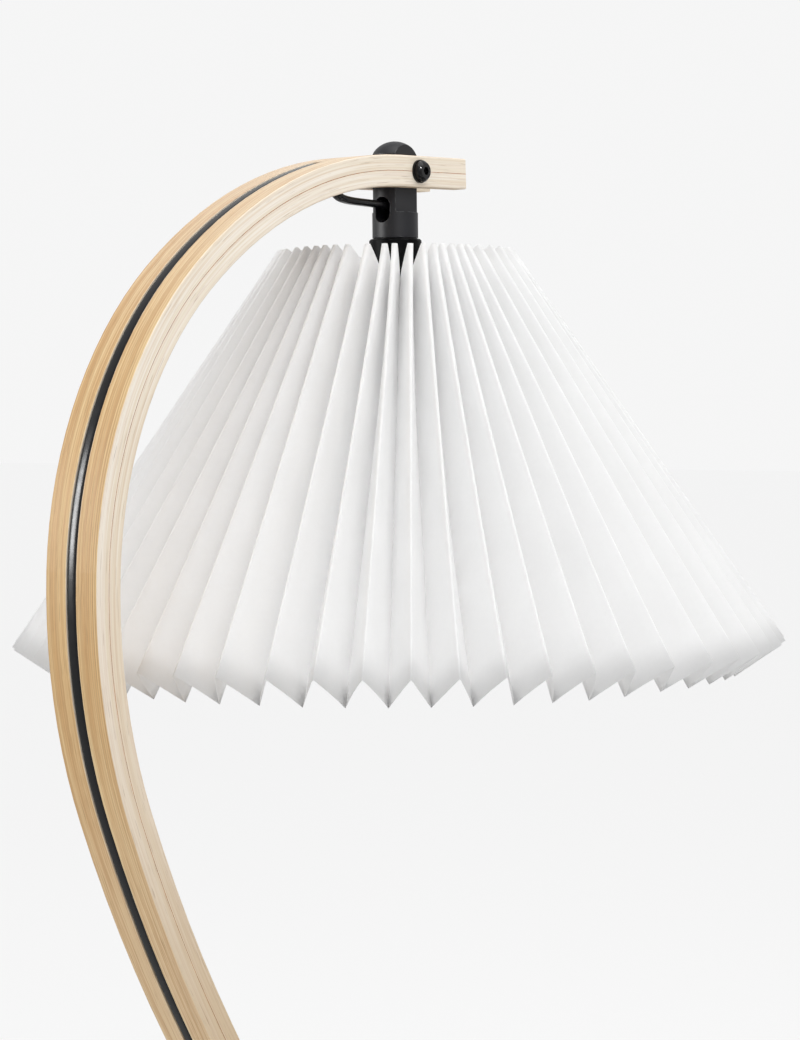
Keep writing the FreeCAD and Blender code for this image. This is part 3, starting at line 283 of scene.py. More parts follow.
def strap_line(low, high, thick):
    """Once round a rounded rectangle in the YZ plane, and on over the top a second time."""
    inset = thick / 2 + strap_corner
    y0, y1 = low[1] + inset, high[1] - inset
    z0, z1 = low[2] + inset, high[2] - inset
    corners = [(y1, z1, 0), (y0, z1, 90), (y0, z0, 180), (y1, z0, 270)]
    points = []
    for number, (y, z, start) in enumerate(corners + corners[:2]):
        reach = strap_corner + (thick * 1.15 if number >= len(corners) else 0.0)
        for i in range(steps_per_corner + 1):
            a = math.radians(start + 90 * i / steps_per_corner)
            points.append((y + reach * math.cos(a), z + reach * math.sin(a)))
    # the strap starts and ends in the middle of a corner
    half = steps_per_corner // 2
    return points[half:-half - 1]


def strap_mesh(name, points, x0, x1, thick):
    soft = thick * 0.35
    half = thick / 2
    outline = [
        (x0, soft - half), (x0 + soft, -half), (x1 - soft, -half), (x1, soft - half),
        (x1, half - soft), (x1 - soft, half), (x0 + soft, half), (x0, half - soft),
    ]
    corners = []
    for number, (y, z) in enumerate(points):
        before, after = points[max(number - 1, 0)], points[min(number + 1, len(points) - 1)]
        ahead = Vector((0.0, after[0] - before[0], after[1] - before[1])).normalized()
        out = Vector((0.0, ahead.z, -ahead.y))
        corners += [Vector((x, y, z)) + out * up for x, up in outline]
    return new_piece(name, corners, tube_faces(len(points), len(outline)))


tie_low, tie_high = box_of(nodes["coil_tie"])
strap_route = strap_line(tie_low, tie_high, strap_thick)
coil_strap = strap_mesh("coil_strap", strap_route, tie_low[0], tie_high[0], strap_thick)
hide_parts("coil_tie")
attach(coil_strap, "stand")
print("the strap is", round((tie_high[0] - tie_low[0]) / MM, 1), "mm wide")

# %% [markdown]
# ## The cord's way into the head
#
# Just under the fork the same cord comes out of the bow, hangs level for a few
# centimetres and turns down inside the tilting housing.  This stretch bends when the head
# is tilted, so it is a mesh of its own, laid here in its rest shape.  Here the light shows
# the two wires under the sheath, so its outline has a shallow waist.

# %% Sweep the short stretch
head_route = [
    (-53.1, 0.0, 668.4),
    (-49.5, 0.0, 664.4),
    (-41.0, 0.0, 662.9),
    (-24.0, 0.0, 662.9),
    (-9.5, 0.0, 662.9),
    (0.6, 0.0, 661.0),
    (4.4, 0.0, 652.5),
    (4.4, 0.0, 643.8),
]
head_line = nurbs_line("head_line", head_route, 10)
head_points = points_of(head_line)
bpy.data.objects.remove(head_line)


def sweep(name, points, outline):
    """A closed tube along a line in the XZ plane; the outline's width lies along Y."""
    across = Vector((0.0, 1.0, 0.0))
    corners = []
    for number, place in enumerate(points):
        before = points[max(number - 1, 0)]
        after = points[min(number + 1, len(points) - 1)]
        up = (after - before).normalized().cross(across)
        corners += [place + across * a + up * u for a, u in outline]
    piece = new_piece(name, corners, tube_faces(len(points), len(outline)))
    for face in piece.data.polygons:
        face.use_smooth = len(face.vertices) == 4
    return piece


cord_into_head = sweep("cord_into_head", head_points, flat_outline(waist=0.22))
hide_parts("head_lead")
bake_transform(cord_into_head)
head_stretch = length_of(head_points)
print("the stretch into the head is", round(head_stretch / MM, 1), "mm long")

# %% [markdown]
# ## The cord in the groove
#
# On its way up the bow the cord lies pressed into a groove, nearly flush with the wood.
# It is fixed there, so it is a solid strip and no free cord.  Its route is walked in the
# same straight runs and arcs as the bow, a little further out.  Only its rounded back
# shows, and a long soft light draws one bright line down it.

# %% Walk down the groove and sweep the strip
groove_start = (-67.94, 676.96, 194.4)
groove_stretches = [(263.65, 26.3), (191.65, 47.1), (268.65, 25.1), (736.65, 9.5), (275.0, 0.0)]
lift = 0.35
walk_step = 5.0
pressed_half = 3.06 * MM


def walk(start, stretches, step):
    """Points along straight runs and left-hand arcs in the XZ plane, in metres."""
    x, z, heading = start
    points = [(x, z, heading)]
    for size, turn in stretches:
        run = size * math.radians(turn) if turn else size
        count = max(2, round(run / step))
        for _ in range(count):
            h = math.radians(heading + turn / count / 2)
            chord = 2 * size * math.sin(math.radians(turn / count / 2)) if turn else run / count
            x, z = x + chord * math.cos(h), z + chord * math.sin(h)
            heading += turn / count
            points.append((x, z, heading))
    return points


def pressed_outline():
    """The cord squeezed into the groove: nearly square corners and a gently domed back."""
    points = []
    for i in range(outline_count):
        a = 2 * math.pi * (i + 0.5) / outline_count
        across = math.copysign(abs(math.cos(a)) ** 0.5, math.cos(a)) * pressed_half
        up = math.copysign(abs(math.sin(a)) ** 0.6, math.sin(a)) * cord_thick / 2
        points.append((across, up))
    return points


def strip_points():
    points = []
    for x, z, heading in walk(groove_start, groove_stretches, walk_step):
        h = math.radians(heading)
        x, z = x + lift * math.sin(h), z - lift * math.cos(h)
        points.append(Vector((x * MM, 0.0, z * MM)))
    return points


cord_in_bow = sweep("cord_in_bow", strip_points(), pressed_outline())
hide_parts("arm_lead")
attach(cord_in_bow, "stand")
print("the strip ends at", [round(v, 4) for v in strip_points()[-1]])

# %% [markdown]
# ## Small tools for materials
#
# Every finish below is a short tree of nodes.  These helpers add a node, fill its inputs
# with numbers or with another node's output, and hand back what the next node needs.

# %% Node helpers
def feed(tree, socket, value):
    """Give an input a number or colour, or link it to another node's output."""
    if isinstance(value, bpy.types.NodeSocket):
        tree.links.new(value, socket)
    else:
        socket.default_value = value


def add(tree, kind, inputs=None, **settings):
    node = tree.nodes.new(kind)
    for key, value in settings.items():
        setattr(node, key, value)
    for socket, value in (inputs or {}).items():
        feed(tree, node.inputs[socket], value)
    return node


def calc(tree, operation, a, b=0.0):
    return add(tree, "ShaderNodeMath", {0: a, 1: b}, operation=operation).outputs[0]


def times(tree, a, b):
    return calc(tree, "MULTIPLY", a, b)


def plus(tree, a, b):
    return calc(tree, "ADD", a, b)


def minus(tree, a, b):
    return calc(tree, "SUBTRACT", a, b)


def remap(tree, value, low, high, to_low=0.0, to_high=1.0):
    wanted = {"Value": value, "From Min": low, "From Max": high}
    wanted.update({"To Min": to_low, "To Max": to_high})
    return add(tree, "ShaderNodeMapRange", wanted, interpolation_type="SMOOTHSTEP").outputs[0]


def noise(tree, where, scale, detail=3.0, roughness=0.55):
    wanted = {"Vector": where, "Scale": scale, "Detail": detail, "Roughness": roughness}
    return add(tree, "ShaderNodeTexNoise", wanted).outputs["Fac"]


def blend_colours(tree, share, first, second):
    """Mix two colours; the mixer's inputs 0, 6 and 7 are its share and its colours."""
    node = add(tree, "ShaderNodeMix", data_type="RGBA")
    for number, value in ((0, share), (6, first), (7, second)):
        if isinstance(value, str):
            value = linear(value)
        feed(tree, node.inputs[number], value)
    return node.outputs[2]


def object_place(tree):
    return add(tree, "ShaderNodeTexCoord").outputs["Object"]


def linear(text):
    """A colour written as six hex digits, turned into the numbers that shaders use."""
    values = [int(text[i : i + 2], 16) / 255 for i in (0, 2, 4)]
    return [v / 12.92 if v <= 0.04045 else ((v + 0.055) / 1.055) ** 2.4 for v in values] + [1.0]


def new_group(name, inputs, outputs):
    """A shader node group with number inputs and named outputs."""
    group = bpy.data.node_groups.new(name, "ShaderNodeTree")
    for label, kind, value in inputs:
        socket = group.interface.new_socket(name=label, in_out="INPUT", socket_type=kind)
        socket.default_value = value
    for label, kind in outputs:
        group.interface.new_socket(name=label, in_out="OUTPUT", socket_type=kind)
    start = group.nodes.new("NodeGroupInput")
    end = group.nodes.new("NodeGroupOutput")
    return group, start, end


def use_group(tree, group, inputs=None):
    return add(tree, "ShaderNodeGroup", inputs, node_tree=group)


def new_material(name):
    material = bpy.data.materials.new(name)
    material.use_nodes = True
    tree = material.node_tree
    return material, tree, tree.nodes["Principled BSDF"]


def dress(material, *names):
    """Give CAD pieces this finish; their shapes stay as they are."""
    for name in names:
        piece = nodes[name]
        piece.data.materials.clear()
        piece.data.materials.append(material)


# %% [markdown]
# ## Effects that several finishes share
#
# *Fine grain* is the tiny relief of powder coat or moulded plastic.  *Edges worn and highlit*
# finds the sharp corners and paints them pale: on most finishes they are worn, where the coat
# is thin and rubs pale; on the housing they are a painted highlight, where the edges of its
# flats catch the light.  A rounded copy of the surface's normal differs from the true one
# only there.  *Slow drift* is the gentle change of tone that no real surface lacks.

# %% Build the shared groups
def fine_grain_group():
    group, start, end = new_group(
        "fine grain",
        [("Grains per metre", "NodeSocketFloat", 1500.0)],
        [("Grain", "NodeSocketFloat")],
    )
    where = object_place(group)
    cells = add(group, "ShaderNodeTexVoronoi", {"Vector": where, "Scale": start.outputs[0]})
    cells.feature = "SMOOTH_F1"
    fine = noise(group, where, start.outputs[0], 2.0)
    both = plus(group, times(group, cells.outputs["Distance"], 0.5), fine)
    group.links.new(both, end.inputs[0])
    return group


def edges_worn_and_highlit_group():
    group, start, end = new_group(
        "edges worn and highlit",
        [("Width", "NodeSocketFloat", 0.0005), ("Breaks per metre", "NodeSocketFloat", 400.0)],
        [("Wear", "NodeSocketFloat")],
    )
    soft = add(group, "ShaderNodeBevel", {"Radius": start.outputs[0]}, samples=6).outputs[0]
    true = add(group, "ShaderNodeNewGeometry").outputs["Normal"]
    compare = add(group, "ShaderNodeVectorMath", {0: soft, 1: true}, operation="DOT_PRODUCT")
    same = compare.outputs["Value"]
    edge = remap(group, minus(group, 1.0, same), 0.01, 0.12)
    where = object_place(group)
    patchy = remap(group, noise(group, where, start.outputs[1], 3.0), 0.42, 0.60)
    group.links.new(times(group, edge, patchy), end.inputs[0])
    return group


def slow_drift_group():
    group, start, end = new_group(
        "slow drift",
        [("Patches per metre", "NodeSocketFloat", 30.0)],
        [("Drift", "NodeSocketFloat")],
    )
    where = object_place(group)
    value = noise(group, where, start.outputs[0], 4.0, 0.5)
    group.links.new(remap(group, value, 0.3, 0.7), end.inputs[0])
    return group


fine_grain = fine_grain_group()
edges_worn_and_highlit = edges_worn_and_highlit_group()
slow_drift = slow_drift_group()
print("shared effects:", [group.name for group in bpy.data.node_groups])


# %% A finish made from the shared effects
def roughen(tree, shader, strength, distance, height):
    """Give a finish a fine relief; the distance is in metres."""
    wanted = {"Strength": strength, "Distance": distance, "Height": height}
    bump = add(tree, "ShaderNodeBump", wanted).outputs[0]
    tree.links.new(bump, shader.inputs["Normal"])
    return bump


def coated(
    name, dark, light, roughness, grains=1500.0, grain_depth=0.03, wear_and_highlight=0.0,
    wear_and_highlight_colour="6f6f70", metallic=0.0, patches=30.0, specular=0.5,
):
    """Two close tones that drift into each other, a fine relief, and paler corners: worn on most
    finishes, a painted highlight on the housing.
    """
    material, tree, shader = new_material(name)
    drift = use_group(tree, slow_drift, {"Patches per metre": patches}).outputs[0]
    colour = blend_colours(tree, drift, dark, light)
    if wear_and_highlight > 0.0:
        # pale corners: worn on most finishes, a painted highlight along the housing's flats
        worn = use_group(tree, edges_worn_and_highlit).outputs[0]
        colour = blend_colours(tree, times(tree, worn, wear_and_highlight), colour, wear_and_highlight_colour)
    tree.links.new(colour, shader.inputs["Base Color"])
    spread = remap(tree, drift, 0.0, 1.0, roughness * 0.92, min(roughness * 1.08, 1.0))
    tree.links.new(spread, shader.inputs["Roughness"])
    shader.inputs["Metallic"].default_value = metallic
    shader.inputs["Specular IOR Level"].default_value = specular
    grain = use_group(tree, fine_grain, {"Grains per metre": grains}).outputs[0]
    roughen(tree, shader, 0.5, grain_depth * MM, grain)
    return material


# %% [markdown]
# ## Oak that follows the bow
#
# The bow is glued up from two layers of oak, bent together while the glue set.  The grain
# of bent wood follows the bend, so a pattern laid in straight space would look carved, not
# bent.  The group below works out where a point lies on the bow: how far along it, how
# far to its outer or inner side, and how far across.  It walks through the bow's straight
# runs and arcs and keeps the answer of the stretch that the point belongs to.

# %% Measure places along the bow
bow_start = (0.0425, 0.6822, 182.9)
bow_stretches = [
    (0.058, 0.0), (0.258, 37.8), (0.186, 47.1), (0.263, 25.1), (0.731, 9.5), (0.2825, 0.0),
]


def bow_place_group():
    answers = [(label, "NodeSocketFloat") for label in ("Along", "Aside", "Across")]
    group, start, end = new_group("bow place", [], answers)
    where = object_place(group)
    split = add(group, "ShaderNodeSeparateXYZ", {0: where})
    px, across, pz = split.outputs
    x, z, heading = bow_start
    run = 0.0
    along = aside = None
    for size, turn in bow_stretches:
        h = math.radians(heading)
        ahead = (math.cos(h), math.sin(h))
        dx, dz = minus(group, px, x), minus(group, pz, z)
        forward = plus(group, times(group, dx, ahead[0]), times(group, dz, ahead[1]))
        if turn == 0.0:
            here = plus(group, forward, run)
            off = minus(group, times(group, dx, ahead[1]), times(group, dz, ahead[0]))
            x, z, run = x + size * ahead[0], z + size * ahead[1], run + size
        else:
            cx, cz = x - size * ahead[1], z + size * ahead[0]
            ex, ez = minus(group, px, cx), minus(group, pz, cz)
            # turn the point back so that the arc starts on the local X axis
            u = minus(group, times(group, ex, ahead[1]), times(group, ez, ahead[0]))
            v = plus(group, times(group, ex, ahead[0]), times(group, ez, ahead[1]))
            angle = calc(group, "ARCTAN2", v, u)
            here = plus(group, times(group, angle, size), run)
            square = plus(group, times(group, u, u), times(group, v, v))
            off = minus(group, calc(group, "SQRT", square), size)
            heading += turn
            h2 = math.radians(heading)
            x, z = cx + size * math.sin(h2), cz - size * math.cos(h2)
            run += size * math.radians(turn)
        if along is None:
            along, aside = here, off
        else:
            passed = calc(group, "GREATER_THAN", forward, 0.0)
            kept = minus(group, 1.0, passed)
            along = plus(group, times(group, here, passed), times(group, along, kept))
            aside = plus(group, times(group, off, passed), times(group, aside, kept))
    for value, socket in zip((along, aside, across), end.inputs):
        group.links.new(value, socket)
    print("the bow is", round(run, 3), "m long and ends at", round(x, 4), round(z, 4))
    return group


bow_place = bow_place_group()

# %% [markdown]
# ## The oak's colours
#
# On the broad faces the growth rings come out nearly flat, as long straight lines and a
# few darker streaks; near the top of the bow a painted sheen, a pale tone for light glancing
# off them, lies over them.  On the narrow sides the wood is paler and its lines are finer,
# and painted light makes them paler still: cream near the top, where the light falls
# strongly on them, fading to tan towards the foot.
# Oak also has open pores, short dark dashes that run with the grain.  A clear matt
# lacquer over it all gives a soft sheen.

# %% Oak and glue line
def stretched(tree, along, aside, across, per_along, per_aside, per_across):
    parts = {
        0: times(tree, along, per_along),
        1: times(tree, aside, per_aside),
        2: times(tree, across, per_across),
    }
    return add(tree, "ShaderNodeCombineXYZ", parts).outputs[0]


ring_aside, ring_across, ring_wander = 0.0031, 0.0013, 2.6
# the side tones carry painted light, cream where the light falls strongly on the narrow sides; the
# grey-pale tone for the top of the broad faces is a painted sheen
oak_tones = {
    "broad": ("d3a86b", "e5c58d"), "broad rings": "ab7f49", "broad foot": "dfccb0",
    "crown_sheen": "d0c9be", "side": ("ebdfcb", "f5ede1"), "side rings": "cda06c",
    "side foot": "c9ab80", "hairlines": "b07d47", "pores": "8a6238", "worn": "f6ead2",
}


def oak_material(name, shift):
    material, tree, shader = new_material(name)
    place = use_group(tree, bow_place)
    down = place.outputs["Along"]
    along = plus(tree, down, shift)
    aside, across = place.outputs["Aside"], place.outputs["Across"]

    def pattern(per_along, per_aside, per_across, detail, roughness=0.55):
        where = stretched(tree, along, aside, across, per_along, per_aside, per_across)
        return noise(tree, where, 1.0, detail, roughness)

    def tint(share, colour, tone):
        return blend_colours(tree, share, colour, oak_tones[tone])

    # growth rings: crisp late wood at uneven steps, wandering a little along the bow
    wander = pattern(2.2, 35.0, 35.0, 2.0)
    step = plus(
        tree, calc(tree, "DIVIDE", aside, ring_aside), calc(tree, "DIVIDE", across, ring_across)
    )
    phase = calc(tree, "FRACT", plus(tree, step, times(tree, wander, ring_wander)))
    late = remap(tree, phase, 0.55, 0.95)
    fade = remap(tree, pattern(3.5, 180.0, 160.0, 2.0), 0.36, 0.60)
    rings = times(tree, late, fade)
    lines = pattern(4.0, 420.0, 560.0, 3.0, 0.65)
    fine = pattern(14.0, 1300.0, 1500.0, 2.0, 0.6)
    pores = pattern(60.0, 2100.0, 2300.0, 1.0)
    streaks = remap(tree, lines, 0.38, 0.62)

    # the broad faces: paler near the top of the bow from a painted sheen, and paler again towards
    # the foot
    broad = blend_colours(tree, streaks, *oak_tones["broad"])
    broad = tint(times(tree, rings, 0.72), broad, "broad rings")
    broad = tint(times(tree, remap(tree, down, 0.36, 0.62), 0.55), broad, "broad foot")
    crown_sheen = minus(tree, 0.6, remap(tree, down, 0.10, 0.36, 0.0, 0.6))
    broad = tint(crown_sheen, broad, "crown_sheen")

    # the sides: paler wood with painted light on it, cream near the top where the light falls
    # strongly, turning to tan towards the foot as the painted light fades
    side = blend_colours(tree, streaks, *oak_tones["side"])
    side = tint(times(tree, rings, 0.14), side, "side rings")
    side = tint(times(tree, remap(tree, down, 0.25, 0.80), 0.9), side, "side foot")

    # faces that look sideways take the side colours, which carry the painted light
    normal = add(tree, "ShaderNodeTexCoord").outputs["Normal"]
    normal = add(tree, "ShaderNodeSeparateXYZ", {0: normal}).outputs[1]
    sideways = remap(tree, calc(tree, "ABSOLUTE", normal), 0.35, 0.85)
    colour = blend_colours(tree, sideways, broad, side)
    calm = minus(tree, 1.0, times(tree, sideways, 0.65))
    hairlines = times(tree, remap(tree, fine, 0.46, 0.62, 0.0, 0.42), calm)
    colour = tint(hairlines, colour, "hairlines")
    dashes = remap(tree, pores, 0.66, 0.74, 0.0, 0.4)
    colour = tint(dashes, colour, "pores")
    corners = {"Width": 0.0009, "Breaks per metre": 60.0}
    worn = use_group(tree, edges_worn_and_highlit, corners).outputs[0]
    colour = tint(times(tree, worn, 0.5), colour, "worn")
    tree.links.new(colour, shader.inputs["Base Color"])
    tree.links.new(remap(tree, lines, 0.3, 0.7, 0.50, 0.62), shader.inputs["Roughness"])
    shader.inputs["Specular IOR Level"].default_value = 0.35
    relief = minus(tree, fine, times(tree, dashes, 1.5))
    roughen(tree, shader, 0.35, 0.10 * MM, relief)
    return material


def glue_material():
    material, tree, shader = new_material("glue line")
    place = use_group(tree, bow_place)
    where = stretched(tree, *place.outputs, 120.0, 10.0, 10.0)
    spots = noise(tree, where, 1.0, 4.0, 0.7)
    colour = blend_colours(tree, remap(tree, spots, 0.35, 0.65), "8f5222", "b8763a")
    tree.links.new(colour, shader.inputs["Base Color"])
    shader.inputs["Roughness"].default_value = 0.55
    return material


dress(oak_material("oak outer layer", 0.0), "arm_outer_lamination")
dress(oak_material("oak inner layer", 3.7), "arm_inner_lamination")
dress(glue_material(), "arm_glue_line")

# %% [markdown]
# ## The folded paper shade
#
# The shade is one long strip of heavy white paper, folded to and fro into 57 pleats and
# closed to a ring.  A thread gathers the folds near the upper end, so the strip opens
# like a fan below it.  Paper can't stretch: each panel keeps its width from top to bottom,
# so where the folds stand close together the pleats are deep, and the ring of inner folds
# drops lower than the ring of outer ones.
#
# Hand gathering leaves the folds uneven, and the eye reads that as paper.  So the outer
# folds stand at their own angles, measured where they can be seen and strewn a little
# elsewhere.  Near the thread the paper can't fold sharply and its outer folds stay blunt.

# %% Where the folds stand, in degrees round the lamp
pleat_count = 57
upper_folds = [
    149.3, 160.1, 168.15, 175.0, 180.5, 186.45, 193.05, 202.9, 211.1, 215.75, 223.2,
    229.6, 234.7, 238.95, 243.9, 248.55, 253.2, 260.15, 269.05, 277.45, 288.2,
]
lower_folds = [
    153.0, 159.6, 166.0, 172.5, 179.1, 185.2, 191.65, 198.6, 205.05, 211.4, 217.65,
    223.9, 230.05, 236.2, 242.5, 248.75, 255.6, 263.6, 270.5, 277.2, 283.8,
]


def close_ring(folds):
    """Fill the unseen part of the ring with folds at slightly uneven steps."""
    missing = pleat_count - len(folds)
    gap = (folds[0] + 360.0 - folds[-1]) / (missing + 1)
    rest = [folds[-1] + gap * (i + 1) + random.uniform(-0.16, 0.16) * gap for i in range(missing)]
    return [math.radians(a) for a in folds + rest]


upper = close_ring(upper_folds)
lower = close_ring(lower_folds)
print("folds:", len(upper), "above and", len(lower), "below")

# %% Sizes of the folded strip
panel = 28.8 * MM
paper_thick = 0.3 * MM
top_radius, top_level = 61.2 * MM, -40.0 * MM
low_radius, low_level = 200.0 * MM, -242.0 * MM
slant = math.atan2(low_radius - top_radius, top_level - low_level)
rows = 16


def ring_point(radius, level, depth, angle):
    """A point at this depth inside the outer folds, measured square to the slant."""
    r = radius - depth * math.cos(slant)
    return Vector((r * math.cos(angle), r * math.sin(angle), level - depth * math.sin(slant)))


def panel_depth(radius, pitch):
    half = radius * math.sin(pitch / 2)
    return math.sqrt(panel * panel - half * half)


def fold_columns():
    """For each fold line, outer or inner, its upper and lower end."""
    columns = []
    for i in range(pleat_count):
        after = (i + 1) % pleat_count
        turn = 2 * math.pi if after == 0 else 0.0
        pitch_top = upper[after] + turn - upper[i]
        pitch_low = lower[after] + turn - lower[i]
        depth_top = panel_depth(top_radius, pitch_top)
        depth_low = panel_depth(low_radius, pitch_low)
        outer = (
            ring_point(top_radius, top_level, 0.0, upper[i]),
            ring_point(low_radius, low_level, 0.0, lower[i]),
        )
        inner = (
            ring_point(top_radius, top_level, depth_top, upper[i] + pitch_top / 2),
            ring_point(low_radius, low_level, depth_low, lower[i] + pitch_low / 2),
        )
        columns.append((outer, inner))
    return columns


# %% Fold the strip
def blunt_width(share):
    """Half the width of the blunt outer fold: wide at the gathered end, sharp below."""
    return (0.3 + 1.0 * math.exp(-share * 3.0)) * MM


# across one fold: which side of the outer fold, and how far in towards the inner one
fold_profile = [
    (-1, 1.0), (-1, 0.72), (-1, 0.42), (-1, 0.16), (-1, 0.0),
    (0, 0.0), (1, 0.0), (1, 0.16), (1, 0.42), (1, 0.72),
]


def fold_strip():
    columns = fold_columns()
    count = len(columns)
    lines = []
    for number, (outer, inner) in enumerate(columns):
        before = columns[number - 1][1]
        swell_left = random.uniform(0.2, 1.0) * MM
        swell_right = random.uniform(0.2, 1.0) * MM
        wave = random.uniform(0.0, math.pi)
        sway = random.uniform(0.15, 0.5) * MM
        for side, inward in fold_profile:
            line = []
            for row in range(rows + 1):
                share = row / rows
                crest = outer[0].lerp(outer[1], share)
                valley_ends = inner if side > 0 else before
                valley = valley_ends[0].lerp(valley_ends[1], share)
                out = Vector((crest.x, crest.y, 0.0)).normalized()
                tangent = Vector((-out.y, out.x, 0.0)) * (1 if side > 0 else -1)
                blunt = blunt_width(share)
                if side == 0:
                    place = crest.copy()
                else:
                    shoulder = crest + tangent * blunt - out * blunt * 0.55
                    place = shoulder.lerp(valley, inward)
                    swell = swell_right if side > 0 else swell_left
                    middle = math.sin(math.pi * min(1.0, share * 0.75 + 0.02))
                    bulge = swell * math.sin(math.pi * inward) * (0.12 + 0.88 * middle)
                    place += tangent * bulge
                    swing = sway * math.sin(wave + 5.0 * share)
                    place += tangent * swing * inward * (1 - inward) * 2
                line.append(place)
            lines.append(line)
    return lines


def strip_mesh(lines):
    vertices = [point for line in lines for point in line]
    per = rows + 1
    faces = []
    for i in range(len(lines)):
        j = (i + 1) % len(lines)
        for row in range(rows):
            faces.append((i * per + row, i * per + row + 1, j * per + row + 1, j * per + row))
    return new_piece("folded_paper_shade", vertices, faces)


def hang(piece):
    """Lean a piece with the head, hang it from the tilt screw and shade it smoothly."""
    lean = Matrix.Rotation(-head_lean, 4, "Y")
    piece.data.transform(Matrix.Translation((0.0, 0.0, screw_height)) @ lean)
    for face in piece.data.polygons:
        face.use_smooth = True


shade = strip_mesh(fold_strip())
shade_mesh = shade.data
hang(shade)
creases = len(fold_profile)
per_line = rows + 1
for edge in shade_mesh.edges:
    a, b = edge.vertices
    line_a, line_b = a // per_line, b // per_line
    if line_a == line_b and line_a % creases == 0:
        edge.use_edge_sharp = True
thicken = shade.modifiers.new("paper", "SOLIDIFY")
thicken.thickness = paper_thick
thicken.offset = 0.0
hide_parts("pleated_shade")
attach(shade, "head")
print("shade:", len(shade_mesh.polygons), "faces before it gets its thickness")

# %% [markdown]
# ## The gathering thread
#
# Two cotton plies, twisted together, run round inside the inner folds and hold them at
# even distance from the middle.  Pulled tight, the thread is nearly a circle, with a small
# outward kink at every fold.

# %% Twist the thread
thread_radius, thread_level = 50.0 * MM, -75.0 * MM
ply_radius = 0.24 * MM


def ply(phase, steps_per_fold=12, sides=6):
    steps = pleat_count * steps_per_fold
    corners, faces = [], []
    for i in range(steps):
        a = 2 * math.pi * i / steps
        kink = 0.15 * MM * math.cos(pleat_count * a)
        twist = phase + pleat_count * 2 * a
        r = thread_radius + kink + 0.9 * ply_radius * math.cos(twist)
        level = thread_level + 0.9 * ply_radius * math.sin(twist)
        middle = Vector((r * math.cos(a), r * math.sin(a), level))
        out = Vector((math.cos(a), math.sin(a), 0.0))
        for k in range(sides):
            b = 2 * math.pi * k / sides
            up = Vector((0, 0, ply_radius * math.sin(b)))
            corners.append(middle + out * ply_radius * math.cos(b) + up)
            here, there = i * sides, ((i + 1) % steps) * sides
            faces.append((here + k, there + k, there + (k + 1) % sides, here + (k + 1) % sides))
    return corners, faces


first_corners, first_faces = ply(0.0)
second_corners, second_faces = ply(math.pi)
shift = len(first_corners)
both_faces = first_faces + [tuple(v + shift for v in face) for face in second_faces]
thread = new_piece("twisted_thread", first_corners + second_corners, both_faces)
hang(thread)
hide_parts("gathering_thread")
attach(thread, "head")
print("thread:", len(both_faces), "faces")

# %% [markdown]
# ## The paper's finish
#
# Heavy white paper scatters light almost evenly and lets a little through.  Its surface
# has a faint cloudiness from the pulp, and a fine tooth that only shows at grazing light.

# %% Paper
def paper_material():
    material, tree, shader = new_material("white paper")
    where = object_place(tree)
    pulp = noise(tree, where, 420.0, 5.0, 0.6)
    cloud = noise(tree, where, 60.0, 3.0, 0.5)
    both = plus(tree, times(tree, pulp, 0.5), times(tree, cloud, 0.5))
    colour = blend_colours(tree, remap(tree, both, 0.35, 0.65), "fbfbfb", "fdfdfd")
    tree.links.new(colour, shader.inputs["Base Color"])
    shader.inputs["Roughness"].default_value = 0.85
    shader.inputs["Specular IOR Level"].default_value = 0.2
    tooth = noise(tree, where, 2600.0, 2.0)
    bump = add(tree, "ShaderNodeBump", {"Strength": 0.12, "Distance": 0.00006, "Height": tooth})
    tree.links.new(bump.outputs[0], shader.inputs["Normal"])
    through = add(tree, "ShaderNodeBsdfTranslucent", {"Color": colour, "Normal": bump.outputs[0]})
    sheet = add(tree, "ShaderNodeMixShader", {0: 0.5})
    tree.links.new(shader.outputs[0], sheet.inputs[1])
    tree.links.new(through.outputs[0], sheet.inputs[2])
    tree.links.new(sheet.outputs[0], tree.nodes["Material Output"].inputs["Surface"])
    return material


paper = paper_material()
shade.data.materials.append(paper)

# %% [markdown]
# ## Housing, collar, screw and the smaller parts
#
# The turned housing wears a matt dark coat, and a painted highlight runs pale along the
# edges of its two milled flats, where they catch the light.  The collar under it is moulded
# and plainer.  The tilt screw is the one glossy part, so the softboxes draw bright curved
# marks on it.

# %% Finishes for the head
# the housing's pale edges are a painted highlight along its flats, where they catch the light
housing_coat = coated(
    "housing coat", "141418", "1b1b21", 0.48, 2200.0, 0.05,
    wear_and_highlight=0.8, wear_and_highlight_colour="77777a", specular=0.3,
)
collar_plastic = coated(
    "collar plastic", "030304", "050506", 0.45, 1600.0, 0.03, wear_and_highlight=0.35, specular=0.05
)
holder_plastic = coated("holder plastic", "111113", "18181a", 0.45, 1800.0, 0.02, specular=0.35)
screw_coat = coated("screw coat", "040405", "070708", 0.10, 900.0, 0.002, wear_and_highlight=0.2, specular=0.25)
dress(housing_coat, "head_housing")
dress(collar_plastic, "shade_collar")
dress(holder_plastic, "holder_insulator", "ring_nut")
dress(screw_coat, "pivot_screw", "pivot_washers", "pivot_nut", "foot_screws")

